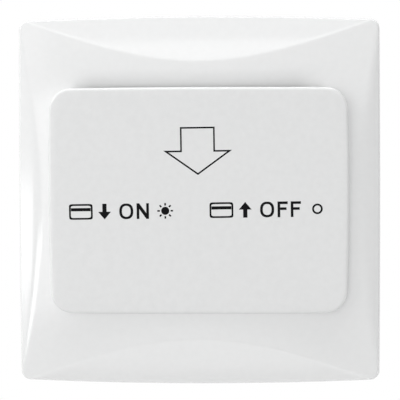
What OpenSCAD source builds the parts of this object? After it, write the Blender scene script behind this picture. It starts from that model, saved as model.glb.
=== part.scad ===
// Hotel key card switch: a domed wall frame, a card pocket, a card-worked snap switch and a relay board.
// Axes: +X right, +Z up, +Y into the wall. The origin is the middle of the wall plane. Sizes are in mm.
// Modules are drawn in a wall view (x right, y up, z out of the wall) that wall_view() turns into the axes.

/* [Front frame] */
// Width and height of the frame from corner to corner
frame_size = 86; // [84:0.5:90]
// Outward bow of the top and bottom edges at mid-length
end_bow = 1; // [0.4:0.1:1.6]
// Outward bow of the left and right edges at mid-length
side_bow = 0.2; // [0.1:0.05:0.4]
// Corner radius of the frame's outline
frame_corner_r = 2.2; // [1.6:0.1:3.5]
// Height of the upright rim above the wall
rim_h = 8.8; // [8.2:0.1:9.4]
// Height of the frame's crown above the wall
crown_h = 12.6; // [12.2:0.1:13]
// Width of the top and bottom flanks at mid-length
end_flank_w = 10.5; // [9:0.25:11.5]
// Width of the left and right flanks at mid-length
side_flank_w = 4.2; // [3.4:0.1:5]
// Outward bulge of a flank between the rim and the crease
flank_bulge = 0.16; // [0.1:0.02:0.24]
// Wall thickness of the frame's shell
frame_wall = 2; // [1.6:0.1:2.4]
// Width of a snap hook that holds the frame on the mounting plate
frame_hook_w = 8; // [6:0.5:10]
// Distance of the frame's snap hooks from its middle
frame_hook_x = 22; // [18:0.5:26]

/* [Card pocket] */
// Width of the key card that the pocket takes
card_w = 54; // [52:0.5:55]
// Free space at each side of the card
card_side_gap = 1; // [0.6:0.1:1.2]
// Depth of the pocket's back wall below the frame's crown
pocket_sink = 4.8; // [4.4:0.1:5.2]
// Thickness of the pocket's back wall
guide_t = 1.6; // [1.2:0.1:2]
// Width of the rails beside the card
rail_t = 2; // [1.4:0.1:2.4]
// Thickness of the stop under the card
stop_t = 1.8; // [1.2:0.1:2.4]
// Rise of the dished lip above the panel's top edge
lip_rise = 4.4; // [3.6:0.1:5.4]
// Depth of the dished lip below the crown at the mouth
lip_drop = 0.8; // [0.6:0.1:1.2]

/* [Card panel] */
// Width of the panel at its corners
panel_w = 70; // [68:0.2:72]
// Height of the panel at its corners
panel_h = 53.2; // [52:0.2:55]
// Outward bow of the panel's left and right edges
panel_side_bow = 0.45; // [0.2:0.05:0.7]
// Outward bow of the panel's top and bottom edges
panel_end_bow = 0.2; // [0.1:0.05:0.4]
// Corner radius of the panel
panel_corner_r = 5; // [4:0.25:6]
// Rounding of the panel's front edge
panel_edge_r = 0.8; // [0.4:0.1:1]
// Thickness of the panel's plate
panel_t = 1.5; // [1.2:0.1:1.6]
// Thickness of the skirt under the panel's edge
skirt_t = 1.5; // [1.2:0.1:1.8]
// Rise of the panel's middle above the frame's crown
panel_rise = 0.8; // [0.7:0.1:1.4]
// Forward lean of the panel's top, in degrees
panel_lean = 2; // [1.6:0.1:2.6]

/* [Mounting plate] */
// Thickness of the mounting plate
plate_t = 2.4; // [2:0.1:2.8]
// Spacing of the two box screws, centre to centre
fixing_spacing = 60.3; // [58:0.1:62]
// Width of a box screw slot
fixing_slot_w = 4.2; // [3.8:0.1:4.6]
// Length of a box screw slot from end to end
fixing_slot_l = 8; // [6.5:0.25:9]

/* [Rear housing] */
// Width of the rear housing
housing_w = 50; // [49.5:0.25:51]
// Height of the rear housing
housing_h = 60; // [59:0.5:64]
// Depth of the rear housing behind the wall plane
housing_depth = 29; // [28.5:0.5:34]
// Wall thickness of the rear housing
housing_wall = 1.8; // [1.5:0.1:2]
// Number of cooling slots in each side wall
vent_count = 6; // [4:1:8]

/* [Relay board] */
// Thickness of the circuit board
board_t = 1.6; // [1.2:0.1:2]
// Depth of the board's front face behind the wall plane
board_sink = 6.5; // [6.2:0.1:7]
// Height of the relay above the board
relay_h = 15.7; // [13:0.1:17]
// Diameter of the two electrolytic capacitors
can_d = 8; // [6.3:0.1:8.4]

/* [Terminals] */
// Number of wire terminals
poles = 4; // [3:1:5]
// Wall between neighbouring wire clamps
terminal_wall = 2; // [1.6:0.1:2.4]

/* [Snap switch] */
// Length of the switch case
switch_l = 19.8; // [19.4:0.1:21]
// Thickness of the switch case
switch_w = 6.4; // [6.2:0.1:7]
// Height of the switch case above the board
switch_h = 8.2; // [8:0.1:8.6]
// Turn of the lever from rest to fully pressed, in degrees
lever_travel = 9.5; // [8:0.1:9.8]
// Thickness of the lever's strip
lever_t = 0.4; // [0.3:0.05:0.5]
// Width of the lever
lever_w = 4; // [3.4:0.1:4.1]
// Distance from the lever's pivot to the tip of its nose
nose_reach = 20; // [19.5:0.1:21]
// Distance from the lever's pivot to the plunger
plunger_arm = 5.5; // [5.2:0.1:6]

/* [Hidden] */
$fn = 64;
dome_facets = 360;

// Overshoot of a cutter past the face that it opens
cut = 1;
// Clearances: beside moulded parts, under the panel's skirt, around screws and between moving parts
mould_gap = 0.3;
seat_gap = 0.1;
screw_gap = 0.05;
touch_gap = 0.1;
ivory = [0.93, 0.93, 0.92];
grey = [0.35, 0.36, 0.37];
steel = [0.75, 0.76, 0.77];
brass = [0.78, 0.66, 0.38];

// Front frame
half = frame_size / 2;
dome_drop = crown_h - rim_h;
dome_r = (2 * half * half + dome_drop * dome_drop) / (2 * dome_drop);
flank_reach = 1.6;

// Card pocket
slot_w = card_w + 2 * card_side_gap;
guide_w = slot_w + 2 * rail_t;
guide_h = crown_h - pocket_sink;
guide_back = guide_h - guide_t;
guide_top = panel_h / 2 - skirt_t;
guide_bottom = -panel_h / 2 + skirt_t + 0.7;
mouth_w = slot_w + 3;
window_top = guide_top + mould_gap;
ridge_y = panel_h / 2 + lip_rise;
lip_steps = 8;
lip_start = 0.2;
lip_power = 1.5;

// Card panel
panel_mid = crown_h + panel_rise;
panel_depth = 12;
panel_hook_y = 13;
panel_hook_w = 6;
panel_hook_t = 1.3;
panel_hook_x = panel_w / 2 - skirt_t - panel_hook_t - 0.1;
panel_barb = 0.8;

// Screws: head radius, head height and shank radius
guide_screw = [1.9, 1.4, 0.9];
board_screw = [1.9, 1.4, 1];
housing_screw = [2.3, 1.8, 1.2];
housing_screw_l = 12;

// Rear housing and its corner columns
housing_r = 3;
column_r = 3;
column_gap = 0.2;
column_x = housing_w / 2 - housing_wall - column_r - column_gap;
column_y = housing_h / 2 - housing_wall - column_r - column_gap;
column_short = 9;
column_end = -housing_depth + column_short;
tube_r = column_r + 0.4;
head_sink = 3;
column_hole = housing_screw_l - column_short + head_sink + 2;
vent_w = 1.6;

// Mounting plate
plate_inset = 3;
plate_size = frame_size - 2 * (frame_wall + plate_inset);
plate_r = 3;
plate_recess = 0.8;
aperture_margin = 5;
aperture_w = 2 * (column_x - aperture_margin);
aperture_h = 2 * (column_y - aperture_margin);
post_x = column_x;
post_y = 14;
post_r = 2.8;
barb_reach = 0.7;
rib_w = 1.6;
rib_h = 1.2;
rib_inset = 5;
boss_r = 2.4;

// Relay board
board_front = -board_sink;
board_back = board_front - board_t;
board_gap = 0.4;
board_w = housing_w - 2 * (housing_wall + board_gap);
board_h = housing_h - 2 * (housing_wall + board_gap);
board_screw_bite = 4;

// Terminals
block_edge = 0.4;
block_gap = 0.6;
block_w = 2 * (column_x - tube_r - block_gap);
pole_pitch = (block_w - 2 * block_edge) / poles;
block_d = 12.4;
block_y = -housing_h / 2 + housing_wall + mould_gap + block_d / 2;
block_top = block_y + block_d / 2;
block_end = -housing_depth + 0.4;
clamp_w = pole_pitch - terminal_wall;
clamp_l = 7;
clamp_d = 8.4;
clamp_t = 0.9;
clamp_gap = 4;
clamp_z = board_back - clamp_gap - clamp_d / 2;
entry_w = clamp_w - 2 * clamp_t;
well_r = 0.4 * clamp_w;
well_h = 2.6;
terminal_screw = [well_r - 0.15, 1.8, 0.26 * clamp_w];

// Sizes of the board's parts
relay_body = [28.4, 12.2];
relay_foot = [29, 12.8];
relay_foot_h = 2.4;
film_body = [13, 7];
film_h = 12;
can_h = 12;
can_pitch = 9;
chip_body = [9.4, 6.2];
chip_h = 3.2;
leg_pitch = 2.54;
leg_w = 0.5;
leg_t = 0.3;
lead_r = 0.35;
lead_lift = 0.3;
diode_r = 1.3;
diode_l = 4.4;
diode_span = 7.4;
diode_pitch = 3.6;
resistor_r = 1.1;
resistor_l = 3.4;
resistor_span = 5.6;
resistor_pitch = 6.8;
disc_r = 5;
disc_t = 3.6;
disc_lift = 1.4;
disc_lead = 2.5;
led_r = 1.5;
led_l = 5.4;
led_rim = 0.35;
led_rim_h = 0.8;

// Places of the board's parts: the relay under the upper columns, the chip and diodes over the terminals
part_gap = 0.3;
edge_gap = 3.3;
relay_at = [
    -board_w / 2 + edge_gap + relay_foot[0] / 2,
    column_y - tube_r - 2 * part_gap - relay_foot[1] / 2
];
relay_bottom = relay_at[1] - relay_foot[1] / 2;
screw_row = board_w / 2 - edge_gap;
can_bottom = relay_bottom - part_gap - can_d;
board_screws_at = [
    [screw_row, can_bottom - part_gap - board_screw[0]],
    [-screw_row, relay_bottom - part_gap - board_screw[0]]
];
film_at = [
    -screw_row + board_screw[0] + part_gap + film_body[0] / 2,
    relay_bottom - part_gap - film_body[1] / 2
];
can_at = [board_w / 2 - edge_gap / 2 - can_pitch - can_d / 2, can_bottom + can_d / 2];
leg_row = 1.5 * leg_pitch;
chip_at = [
    screw_row - board_screw[0] - 2 * part_gap - chip_body[0] / 2,
    block_top + 3 * part_gap + leg_row + leg_t / 2
];
diode_at = [-board_w / 2 + 2 * edge_gap, block_top + 3 * part_gap + lead_r + diode_span / 2];
resistor_y = (relay_at[1] + relay_foot[1] / 2 + board_h / 2) / 2;
disc_at = [board_w / 2 - edge_gap - disc_t / 2, relay_at[1]];
led_at = [10, 15];

// Snap switch
switch_wall = 1;
pin_r = 0.6;
eye_r = 1.1;
pivot_s = 1.6;
pivot_t = switch_h + eye_r + 0.15;
switch_drop = 1.6;
pivot_y = relay_bottom - switch_drop;
switch_x = 0;
cavity_w = switch_w - 2 * switch_wall;
nose_pressed = guide_h - 0.1 - board_front - pivot_t;
nose_bend_r = 1;
plunger_s = pivot_s + plunger_arm;
plunger_r = 1.1;
flange_r = 1.7;
flange_t = 0.5;
plunger_mid = pivot_t + plunger_arm * tan(lever_travel)
    - (plunger_r + touch_gap + lever_t / 2) / cos(lever_travel);
blade_inset = 3.2;
blade_s = switch_l - blade_inset;
blade_h = 5.6;
blade_t = 0.3;
blade_w = 3;
blade_eye_r = 1;
blade_pin_r = 0.5;
nub_r = 0.8;
contact_s = 3.4;
contact_r = 1;
contact_t = 0.65;
plunger_travel = plunger_arm * lever_travel * PI / 180;
blade_travel = plunger_travel / (blade_s - plunger_s) * 180 / PI;
terminal_t = 0.5;
terminal_w = 3;
terminal_foot = -board_t - 1.6;
closed_s = 1.4;
open_s = 9.4;
terminal_at = [closed_s, open_s, blade_s];
tail_reach = 3.4;
window_s = [nose_reach * 0.5, nose_reach + tail_reach + 0.8];

// Height of the frame's dome above the wall, taken inset below its face
function dome_h(x, y, inset = 0) =
    crown_h - dome_r + sqrt(pow(dome_r - inset, 2) - x * x - y * y);
// Distance of the crown's face from the level line through the dome's centre
function crown_reach(y) = sqrt(dome_r * dome_r - y * y);
// Height of the panel's front face above the wall
function panel_face(y) = panel_mid + y * tan(panel_lean);
// Centre offset, centre height and radius of a flank's arc from the rim's edge to the crease
function flank_arc(edge, width) =
    let (rise = dome_h(edge - width, 0) - rim_h)
    let (chord = norm([width, rise]))
    let (r = (chord * chord / 4 + flank_bulge * flank_bulge) / (2 * flank_bulge))
    [
        edge - width / 2 - rise / chord * (r - flank_bulge),
        rim_h + rise / 2 - width / chord * (r - flank_bulge),
        r
    ];
// Points on a corner's arc, then on the straight to the next corner, of a rounded rectangle
function round_rect_points(w, h, r, arc_steps = 6, side_steps = 6) = [
    for (k = [0:3])
        let (c = corner_centre(w, h, r, k))
        let (d = corner_centre(w, h, r, k + 1))
        let (n = [cos(90 * (k + 1)), sin(90 * (k + 1))])
        each concat(
            [for (i = [0:arc_steps]) c + r * [cos(90 * (k + i / arc_steps)), sin(90 * (k + i / arc_steps))]],
            [for (j = [1:side_steps - 1]) c + r * n + (d - c) * j / side_steps]
        )
];
function corner_centre(w, h, r, k) =
    [(k % 4 == 0 || k % 4 == 3 ? 1 : -1) * (w / 2 - r), (k % 4 < 2 ? 1 : -1) * (h / 2 - r)];
// The same outline with its four sides bowed outwards
function bowed_outline(w, h, bow_x, bow_y, r) = [
    for (p = round_rect_points(w, h, r))
        [
            p[0] * (1 + 2 * bow_x / w * (1 - pow(2 * p[1] / h, 2))),
            p[1] * (1 + 2 * bow_y / h * (1 - pow(2 * p[0] / w, 2)))
        ]
];
function panel_outline(inset) = bowed_outline(
    panel_w - 2 * inset, panel_h - 2 * inset, panel_side_bow, panel_end_bow, panel_corner_r - inset
);
function panel_ring(inset, z) = [for (p = panel_outline(inset)) [p[0], p[1], z]];
function pole_x(i) = (i - (poles - 1) / 2) * pole_pitch;

module wall_view() {
    rotate([90, 0, 0]) children();
}

// The panel's own plane: z is 0 on its front face
module panel_view() {
    translate([0, 0, panel_mid]) rotate([panel_lean, 0, 0]) children();
}

// The switch's plane: x runs down the case from its top end and y runs forwards from the board
module switch_view() {
    translate([switch_x, pivot_y + pivot_s, board_front]) rotate([90, 0, -90]) children();
}

// A place on the back of the board, with z pointing away from it
module behind_board(at) {
    translate([at[0], at[1], board_back]) rotate([180, 0, 0]) children();
}

module four_corners(x, y) {
    for (sx = [-1, 1], sy = [-1, 1]) translate([sx * x, sy * y, 0]) children();
}

module round_rect(w, h, r) {
    square([w - 2 * r, h], center = true);
    square([w, h - 2 * r], center = true);
    for (sx = [-1, 1], sy = [-1, 1]) translate([sx * (w / 2 - r), sy * (h / 2 - r)]) circle(r);
}

// A cuboid from one corner to the opposite one
module span(a, b) {
    translate(a) cube(b - a);
}

// A closed solid through rings of points, from the lowest to the highest
module loft(rings) {
    n = len(rings[0]);
    m = len(rings);
    walls = [
        for (i = [0:m - 2], j = [0:n - 1])
            let (k = (j + 1) % n)
            each [
                [i * n + j, (i + 1) * n + j, (i + 1) * n + k],
                [i * n + j, (i + 1) * n + k, i * n + k]
            ]
    ];
    floor_face = [for (j = [0:n - 1]) j];
    roof_face = [for (j = [n - 1:-1:0]) (m - 1) * n + j];
    polyhedron(points = [for (ring = rings) each ring], faces = concat(walls, [floor_face, roof_face]));
}

// Points along one side of a strip: side 1 is the left of the path, -1 the right
function strip_side(path, side, t, bend_r, bend_steps = 8) =
    let (n = len(path))
    let (run = [for (i = [0:n - 2]) norm(path[i + 1] - path[i])])
    let (dir = [for (i = [0:n - 2]) (path[i + 1] - path[i]) / run[i]])
    let (left = [for (d = dir) [-d[1], d[0]]])
    concat(
        [path[0] + left[0] * side * t / 2],
        [
            for (i = [1:1:n - 2])
                let (turn = atan2(cross(dir[i - 1], dir[i]), dir[i - 1] * dir[i]))
                let (back = bend_r * tan(abs(turn) / 2))
                let (hub = path[i] - dir[i - 1] * back + left[i - 1] * sign(turn) * bend_r)
                let (start = atan2(-left[i - 1][1] * sign(turn), -left[i - 1][0] * sign(turn)))
                for (k = [0:bend_steps])
                    let (a = start + turn * k / bend_steps)
                    hub + (bend_r - sign(turn) * side * t / 2) * [cos(a), sin(a)]
        ],
        [path[n - 1] + left[n - 2] * side * t / 2]
    );

// A strip of sheet along a path, with its bends rounded on the centre line
module bent_strip(path, t, bend_r) {
    right = strip_side(path, -1, t, bend_r);
    left = strip_side(path, 1, t, bend_r);
    polygon(concat(right, [for (i = [len(left) - 1:-1:0]) left[i]]));
}

// A pan-head screw [head radius, head height, shank radius] with its head's underside at z = 0
module pan_screw(size, shank_l) {
    r = size[0];
    h = size[1];
    difference() {
        rotate_extrude()
            polygon([
                [0, -shank_l], [size[2] * 0.7, -shank_l], [size[2], -shank_l + size[2] * 0.5], [size[2], 0],
                [r, 0], [r, 0.5 * h], [0.9 * r, 0.78 * h], [0.7 * r, 0.94 * h], [0.45 * r, h], [0, h]
            ]);
        for (turn = [0, 90])
            rotate(turn)
                translate([-0.6 * r, -0.14 * r, 0.45 * h])
                    cube([1.2 * r, 0.28 * r, h]);
    }
}

module flank_cutter(edge, width, inset) {
    arc = flank_arc(edge, width);
    difference() {
        translate([-frame_size, edge - flank_reach * width, -cut])
            cube([2 * frame_size, flank_reach * width + 2 * cut, crown_h + 2 * cut]);
        translate([0, arc[0], arc[1]])
            rotate([0, 90, 0])
                cylinder(r = arc[2] - inset, h = 3 * frame_size, center = true, $fn = dome_facets);
    }
}

// The frame as a solid pillow, or its hollow when inset
module frame_blank(inset, base) {
    size = frame_size - 2 * inset;
    difference() {
        intersection() {
            translate([0, 0, base])
                linear_extrude(crown_h - base + cut)
                    polygon(bowed_outline(size, size, side_bow, end_bow, max(frame_corner_r - inset, 0.6)));
            translate([0, 0, crown_h - dome_r]) sphere(dome_r - inset, $fn = dome_facets);
        }
        for (turn = [0, 180]) rotate(turn) flank_cutter(half + end_bow, end_flank_w, inset);
        for (turn = [90, 270]) rotate(turn) flank_cutter(half + side_bow, side_flank_w, inset);
    }
}

// The snap hooks and the lip under the card's mouth, which stay solid inside the frame's hollow
module frame_inner_blocks() {
    arm = plate_size / 2 + mould_gap;
    for (turn = [0, 180], sx = [-1, 1])
        rotate(turn)
            translate([sx * frame_hook_x - frame_hook_w / 2, 0, 0]) {
                span([0, arm, 0.5], [frame_hook_w, arm + 1.5, crown_h]);
                span([0, arm - mould_gap - barb_reach, 0.5], [frame_hook_w, arm + cut / 2, 1.1]);
            }
    lip_h = dome_h(mouth_w / 2, window_top) - lip_drop;
    span(
        [-mouth_w / 2 - 1.5, window_top - cut, lip_h - frame_wall],
        [mouth_w / 2 + 1.5, ridge_y + frame_wall, crown_h]
    );
}

// The dished lip that leads a card down into the pocket, sunk evenly below the crown along its width
module lip_cutter() {
    run = ridge_y - window_top;
    reach = run + cut;
    profile = concat(
        [[crown_reach(ridge_y + lip_start) + lip_start / 10, ridge_y + lip_start]],
        [
            for (i = [1:lip_steps])
                let (down = reach * i / lip_steps)
                [crown_reach(ridge_y - down) - lip_drop * pow(down / run, lip_power), ridge_y - down]
        ],
        [[dome_r + cut, ridge_y - reach], [dome_r + cut, ridge_y + lip_start]]
    );
    intersection() {
        span([-mouth_w / 2, window_top - cut, 0], [mouth_w / 2, ridge_y + cut, crown_h + cut]);
        translate([0, 0, crown_h - dome_r])
            rotate([-90, 0, 0])
                rotate_extrude($fn = dome_facets)
                    polygon(profile);
    }
}

module front_frame() color(ivory) wall_view() {
    difference() {
        frame_blank(0, 0);
        difference() {
            frame_blank(frame_wall, -cut);
            frame_inner_blocks();
        }
        // Window for the card guide
        span(
            [-guide_w / 2 - mould_gap, guide_bottom - mould_gap, -cut],
            [guide_w / 2 + mould_gap, window_top, crown_h + cut]
        );
        lip_cutter();
        // Slots for the panel's hooks
        for (sx = [0, 180], sy = [-1, 1])
            rotate([0, 0, sx])
                span(
                    [panel_hook_x - 0.25, sy * panel_hook_y - panel_hook_w / 2 - mould_gap, 0],
                    [
                        panel_hook_x + panel_hook_t + panel_barb + 0.25,
                        sy * panel_hook_y + panel_hook_w / 2 + mould_gap,
                        crown_h + cut
                    ]
                );
        // Slot for prising the frame off
        span([-4, -half - end_bow - cut, -cut], [4, -half + frame_wall + cut, 1.4]);
    }
}

module panel_hook(sy) {
    y0 = sy * panel_hook_y - panel_hook_w / 2;
    y1 = y0 + panel_hook_w;
    out = panel_hook_x + panel_hook_t;
    under = dome_h(out + panel_barb, panel_hook_y + panel_hook_w / 2, frame_wall) - 0.15;
    span([panel_hook_x, y0, under - 1.2], [out, y1, panel_face(sy * panel_hook_y) - panel_t / 2]);
    span([out - cut / 2, y0, under - 1.2], [out + panel_barb, y1, under]);
}

module card_panel() color(ivory) wall_view() {
    edge_steps = 5;
    rings = concat(
        [panel_ring(0, -panel_depth)],
        [
            for (i = [0:edge_steps])
                panel_ring(
                    panel_edge_r * (1 - cos(90 * i / edge_steps)),
                    panel_edge_r * (sin(90 * i / edge_steps) - 1)
                )
        ]
    );
    difference() {
        panel_view() loft(rings);
        // Hollow behind the plate, and the mouth above it
        panel_view() translate([0, 0, -panel_depth - cut]) {
            linear_extrude(panel_depth + cut - panel_t) polygon(panel_outline(skirt_t));
            translate([-mouth_w / 2, 0, 0]) cube([mouth_w, panel_h, panel_depth + cut - panel_t]);
        }
        // Lead-in at the mouth
        panel_view()
            translate([0, panel_h / 2 + panel_end_bow, -panel_t])
                rotate([45, 0, 0])
                    cube([mouth_w, 0.7, 0.7], center = true);
        // Seat on the frame's dome, beside its window
        difference() {
            translate([0, 0, crown_h - dome_r]) sphere(dome_r + seat_gap, $fn = dome_facets);
            span([-guide_w / 2, guide_bottom, -cut], [guide_w / 2, guide_top - panel_corner_r, crown_h + cut]);
        }
    }
    for (sx = [0, 180], sy = [-1, 1])
        if (sx == 0) panel_hook(sy);
        else mirror([1, 0, 0]) panel_hook(sy);
}

module card_guide() color(ivory) wall_view() {
    nose_y = [pivot_y - window_s[1], pivot_y - window_s[0]];
    difference() {
        union() {
            span([-guide_w / 2, guide_bottom, guide_back], [guide_w / 2, guide_top, guide_h]);
            for (sx = [-1, 1])
                translate([sx * (slot_w + rail_t) / 2 - rail_t / 2, 0, 0])
                    span([0, guide_bottom, guide_back], [rail_t, guide_top, panel_mid + 3]);
            span([-guide_w / 2, guide_bottom, guide_back], [guide_w / 2, guide_bottom + stop_t, panel_mid]);
            four_corners(post_x, post_y)
                translate([0, 0, plate_t])
                    cylinder(r = post_r, h = guide_back - plate_t + guide_t / 2);
        }
        // The rails and the stop end just behind the panel
        panel_view() span([-guide_w, -frame_size, -panel_t - 0.2], [guide_w, frame_size, frame_size]);
        // Lead-ins at the top of the rails and of the back wall
        for (sx = [-1, 1])
            translate([sx * slot_w / 2, guide_top, guide_h])
                rotate(45)
                    translate([-1, -1, 0])
                        cube([2, 2, frame_size]);
        translate([0, guide_top, guide_h]) rotate([45, 0, 0]) cube([slot_w, 0.9, 0.9], center = true);
        // Window for the lever's nose
        span(
            [switch_x - lever_w / 2 - 0.8, nose_y[0], 0],
            [switch_x + lever_w / 2 + 0.8, nose_y[1], panel_mid]
        );
        // Lamp hole and screw holes
        translate([led_at[0], led_at[1], 0]) cylinder(r = led_r + 0.1, h = panel_mid);
        four_corners(post_x, post_y)
            translate([0, 0, plate_t - cut])
                cylinder(r = guide_screw[2] + screw_gap, h = guide_back - plate_t + cut + 0.6);
    }
}

module guide_screws() color(steel) wall_view() {
    four_corners(post_x, post_y)
        translate([0, 0, plate_recess])
            rotate([180, 0, 0])
                pan_screw(guide_screw, guide_back - plate_recess - 0.2);
}

// Slots on a line across the plate, with round ends
module fixing_slots() {
    for (sx = [-1, 1])
        translate([sx * fixing_spacing / 2, 0, -cut])
            linear_extrude(plate_t + 2 * cut) {
                square([fixing_slot_l - fixing_slot_w, fixing_slot_w], center = true);
                for (end = [-1, 1])
                    translate([end * (fixing_slot_l - fixing_slot_w) / 2, 0]) circle(fixing_slot_w / 2);
            }
}

module mounting_plate() color(grey) wall_view() {
    difference() {
        union() {
            difference() {
                linear_extrude(plate_t) round_rect(plate_size, plate_size, plate_r);
                // Recess for the housing's edge
                translate([0, 0, -cut])
                    linear_extrude(plate_recess + cut)
                        round_rect(housing_w + mould_gap, housing_h + mould_gap, housing_r + mould_gap / 2);
            }
            // Stiffening ribs along the top and bottom
            for (sy = [-1, 1])
                translate([0, sy * (plate_size / 2 - rib_inset), plate_t + rib_h / 2 - cut / 4])
                    cube([plate_size - 2 * rib_inset, rib_w, rib_h + cut / 2], center = true);
            four_corners(column_x, column_y)
                translate([0, 0, column_end])
                    cylinder(r = column_r, h = plate_recess + cut / 2 - column_end);
            for (at = board_screws_at)
                translate([at[0], at[1], board_front])
                    cylinder(r = boss_r, h = plate_recess + cut / 2 - board_front);
        }
        translate([0, 0, -cut]) linear_extrude(plate_t + 2 * cut) round_rect(aperture_w, aperture_h, 2);
        fixing_slots();
        four_corners(post_x, post_y)
            translate([0, 0, -cut])
                cylinder(r = guide_screw[2] + screw_gap, h = plate_t + 2 * cut);
        four_corners(column_x, column_y)
            translate([0, 0, column_end - cut])
                cylinder(r = housing_screw[2] + screw_gap, h = column_hole + cut);
        for (at = board_screws_at)
            translate([at[0], at[1], board_front - cut])
                cylinder(r = board_screw[2] + screw_gap, h = board_screw_bite + 2 * cut);
        // Ledges for the frame's snap hooks
        for (turn = [0, 180], sx = [-1, 1])
            rotate(turn)
                translate([sx * frame_hook_x - frame_hook_w / 2 - 0.4, plate_size / 2, -cut])
                    span([0, -barb_reach - mould_gap, 0], [frame_hook_w + 0.8, cut, 1.3 + cut]);
    }
}

module rear_housing() color(grey) wall_view() {
    floor_h = -housing_depth + housing_wall;
    difference() {
        union() {
            difference() {
                translate([0, 0, -housing_depth])
                    linear_extrude(housing_depth + plate_recess)
                        round_rect(housing_w, housing_h, housing_r);
                translate([0, 0, floor_h])
                    linear_extrude(housing_depth + plate_recess)
                        round_rect(
                            housing_w - 2 * housing_wall, housing_h - 2 * housing_wall, housing_r - housing_wall
                        );
            }
            four_corners(column_x, column_y)
                translate([0, 0, -housing_depth + 0.2])
                    cylinder(r = tube_r, h = column_end + housing_depth - 0.3);
        }
        // Screw holes with sunk heads
        four_corners(column_x, column_y)
            translate([0, 0, -housing_depth - cut]) {
                cylinder(r = housing_screw[0] + 0.2, h = cut + head_sink);
                cylinder(r = housing_screw[2] + screw_gap, h = cut + column_short + cut);
            }
        // Window around the terminals and an opening for each wire
        translate([0, block_y, -housing_depth - cut])
            linear_extrude(housing_wall + 2 * cut)
                square([block_w + 2 * mould_gap, block_d + 2 * mould_gap], center = true);
        for (i = [0:poles - 1])
            translate([pole_x(i), -housing_h / 2, clamp_z])
                cube([entry_w + 0.8, 4 * housing_wall, entry_w + 0.8], center = true);
        // Cooling slots in the side walls
        for (i = [0:vent_count - 1])
            translate([0, housing_h * 0.36 * (2 * i / (vent_count - 1) - 1), -housing_depth * 0.55])
                cube([2 * housing_w, vent_w, housing_depth * 0.42], center = true);
    }
}

module housing_screws() color(steel) wall_view() {
    four_corners(column_x, column_y)
        translate([0, 0, -housing_depth + head_sink])
            rotate([180, 0, 0])
                pan_screw(housing_screw, housing_screw_l);
}

module circuit_board() color([0.16, 0.42, 0.26]) wall_view() {
    notch = column_r + 0.6;
    translate([0, 0, board_back])
        linear_extrude(board_t)
            difference() {
                square([board_w, board_h], center = true);
                for (sx = [-1, 1], sy = [-1, 1])
                    translate([sx * (column_x + board_w / 4), sy * (column_y + board_h / 4)])
                        square([board_w / 2 + 2 * notch, board_h / 2 + 2 * notch], center = true);
                for (at = board_screws_at) translate(at) circle(board_screw[2] + screw_gap);
                // Slots for the switch's terminals
                for (s = terminal_at)
                    translate([switch_x, pivot_y + pivot_s - s])
                        square([terminal_w + 0.4, terminal_t + 0.4], center = true);
            }
}

module board_screws() color(steel) wall_view() {
    for (at = board_screws_at)
        translate([at[0], at[1], board_back])
            rotate([180, 0, 0])
                pan_screw(board_screw, board_t + board_screw_bite);
}

module relay() color([0.12, 0.13, 0.15]) wall_view() behind_board(relay_at) {
    nib = relay_body / 2 - [1.8, 1.8];
    linear_extrude(relay_h) round_rect(relay_body[0], relay_body[1], 0.8);
    linear_extrude(relay_foot_h) round_rect(relay_foot[0], relay_foot[1], 0.8);
    translate([nib[0], nib[1], 0]) cylinder(r = 0.8, h = relay_h + 0.5);
}

module film_capacitor() color([0.75, 0.6, 0.15]) wall_view() behind_board(film_at) {
    difference() {
        linear_extrude(film_h) round_rect(film_body[0], film_body[1], 0.7);
        translate([0, 0, -cut])
            linear_extrude(cut + 0.5)
                square([film_body[0] - 4, 2 * film_body[1]], center = true);
    }
}

// A capacitor can with a crimped neck and a rounded shoulder
module capacitor_can(r, h) {
    rotate_extrude()
        polygon([
            [0, 0], [r - 0.5, 0], [r, 0.5], [r, 1.2], [r - 0.6, 1.7], [r, 2.2], [r, h - 0.8],
            [r - 0.25, h - 0.25], [r - 0.8, h], [r - 1.2, h], [r - 1.5, h - 0.3], [0, h - 0.3]
        ]);
}

module electrolytic_capacitors() color([0.13, 0.16, 0.3]) wall_view() {
    for (i = [0, 1]) behind_board(can_at + [i * can_pitch, 0]) capacitor_can(can_d / 2, can_h);
}

module controller_chip() color([0.1, 0.1, 0.11]) wall_view() behind_board(chip_at) {
    leg_h = 0.5 + chip_h / 2;
    translate([0, 0, 0.5]) linear_extrude(chip_h) square(chip_body, center = true);
    for (i = [-1.5:1.5], sy = [-1, 1])
        translate([i * leg_pitch, sy * leg_row, 0]) {
            translate([-leg_w / 2, -leg_t / 2, 0]) cube([leg_w, leg_t, leg_h]);
            translate([-leg_w / 2, -leg_t / 2 - (1 + sy) / 2 * leg_w * 2, leg_h - leg_t])
                cube([leg_w, leg_t + 2 * leg_w, leg_t]);
        }
}

// A part on two bent leads, lying along x
module axial_part(r, l, lead_span) {
    axis_h = r + lead_lift;
    translate([0, 0, axis_h]) rotate([0, 90, 0]) {
        cylinder(r = r, h = l, center = true);
        cylinder(r = lead_r, h = lead_span, center = true);
    }
    for (sx = [-1, 1]) translate([sx * lead_span / 2, 0, 0]) {
        cylinder(r = lead_r, h = axis_h);
        translate([0, 0, axis_h]) sphere(lead_r);
    }
}

module rectifier_diodes() color([0.14, 0.14, 0.15]) wall_view() {
    for (i = [0:3])
        behind_board(diode_at + [i * diode_pitch, 0])
            rotate(90)
                axial_part(diode_r, diode_l, diode_span);
}

module resistors() color([0.62, 0.68, 0.72]) wall_view() {
    for (i = [-1:1])
        behind_board([i * resistor_pitch, resistor_y])
            axial_part(resistor_r, resistor_l, resistor_span);
}

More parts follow.
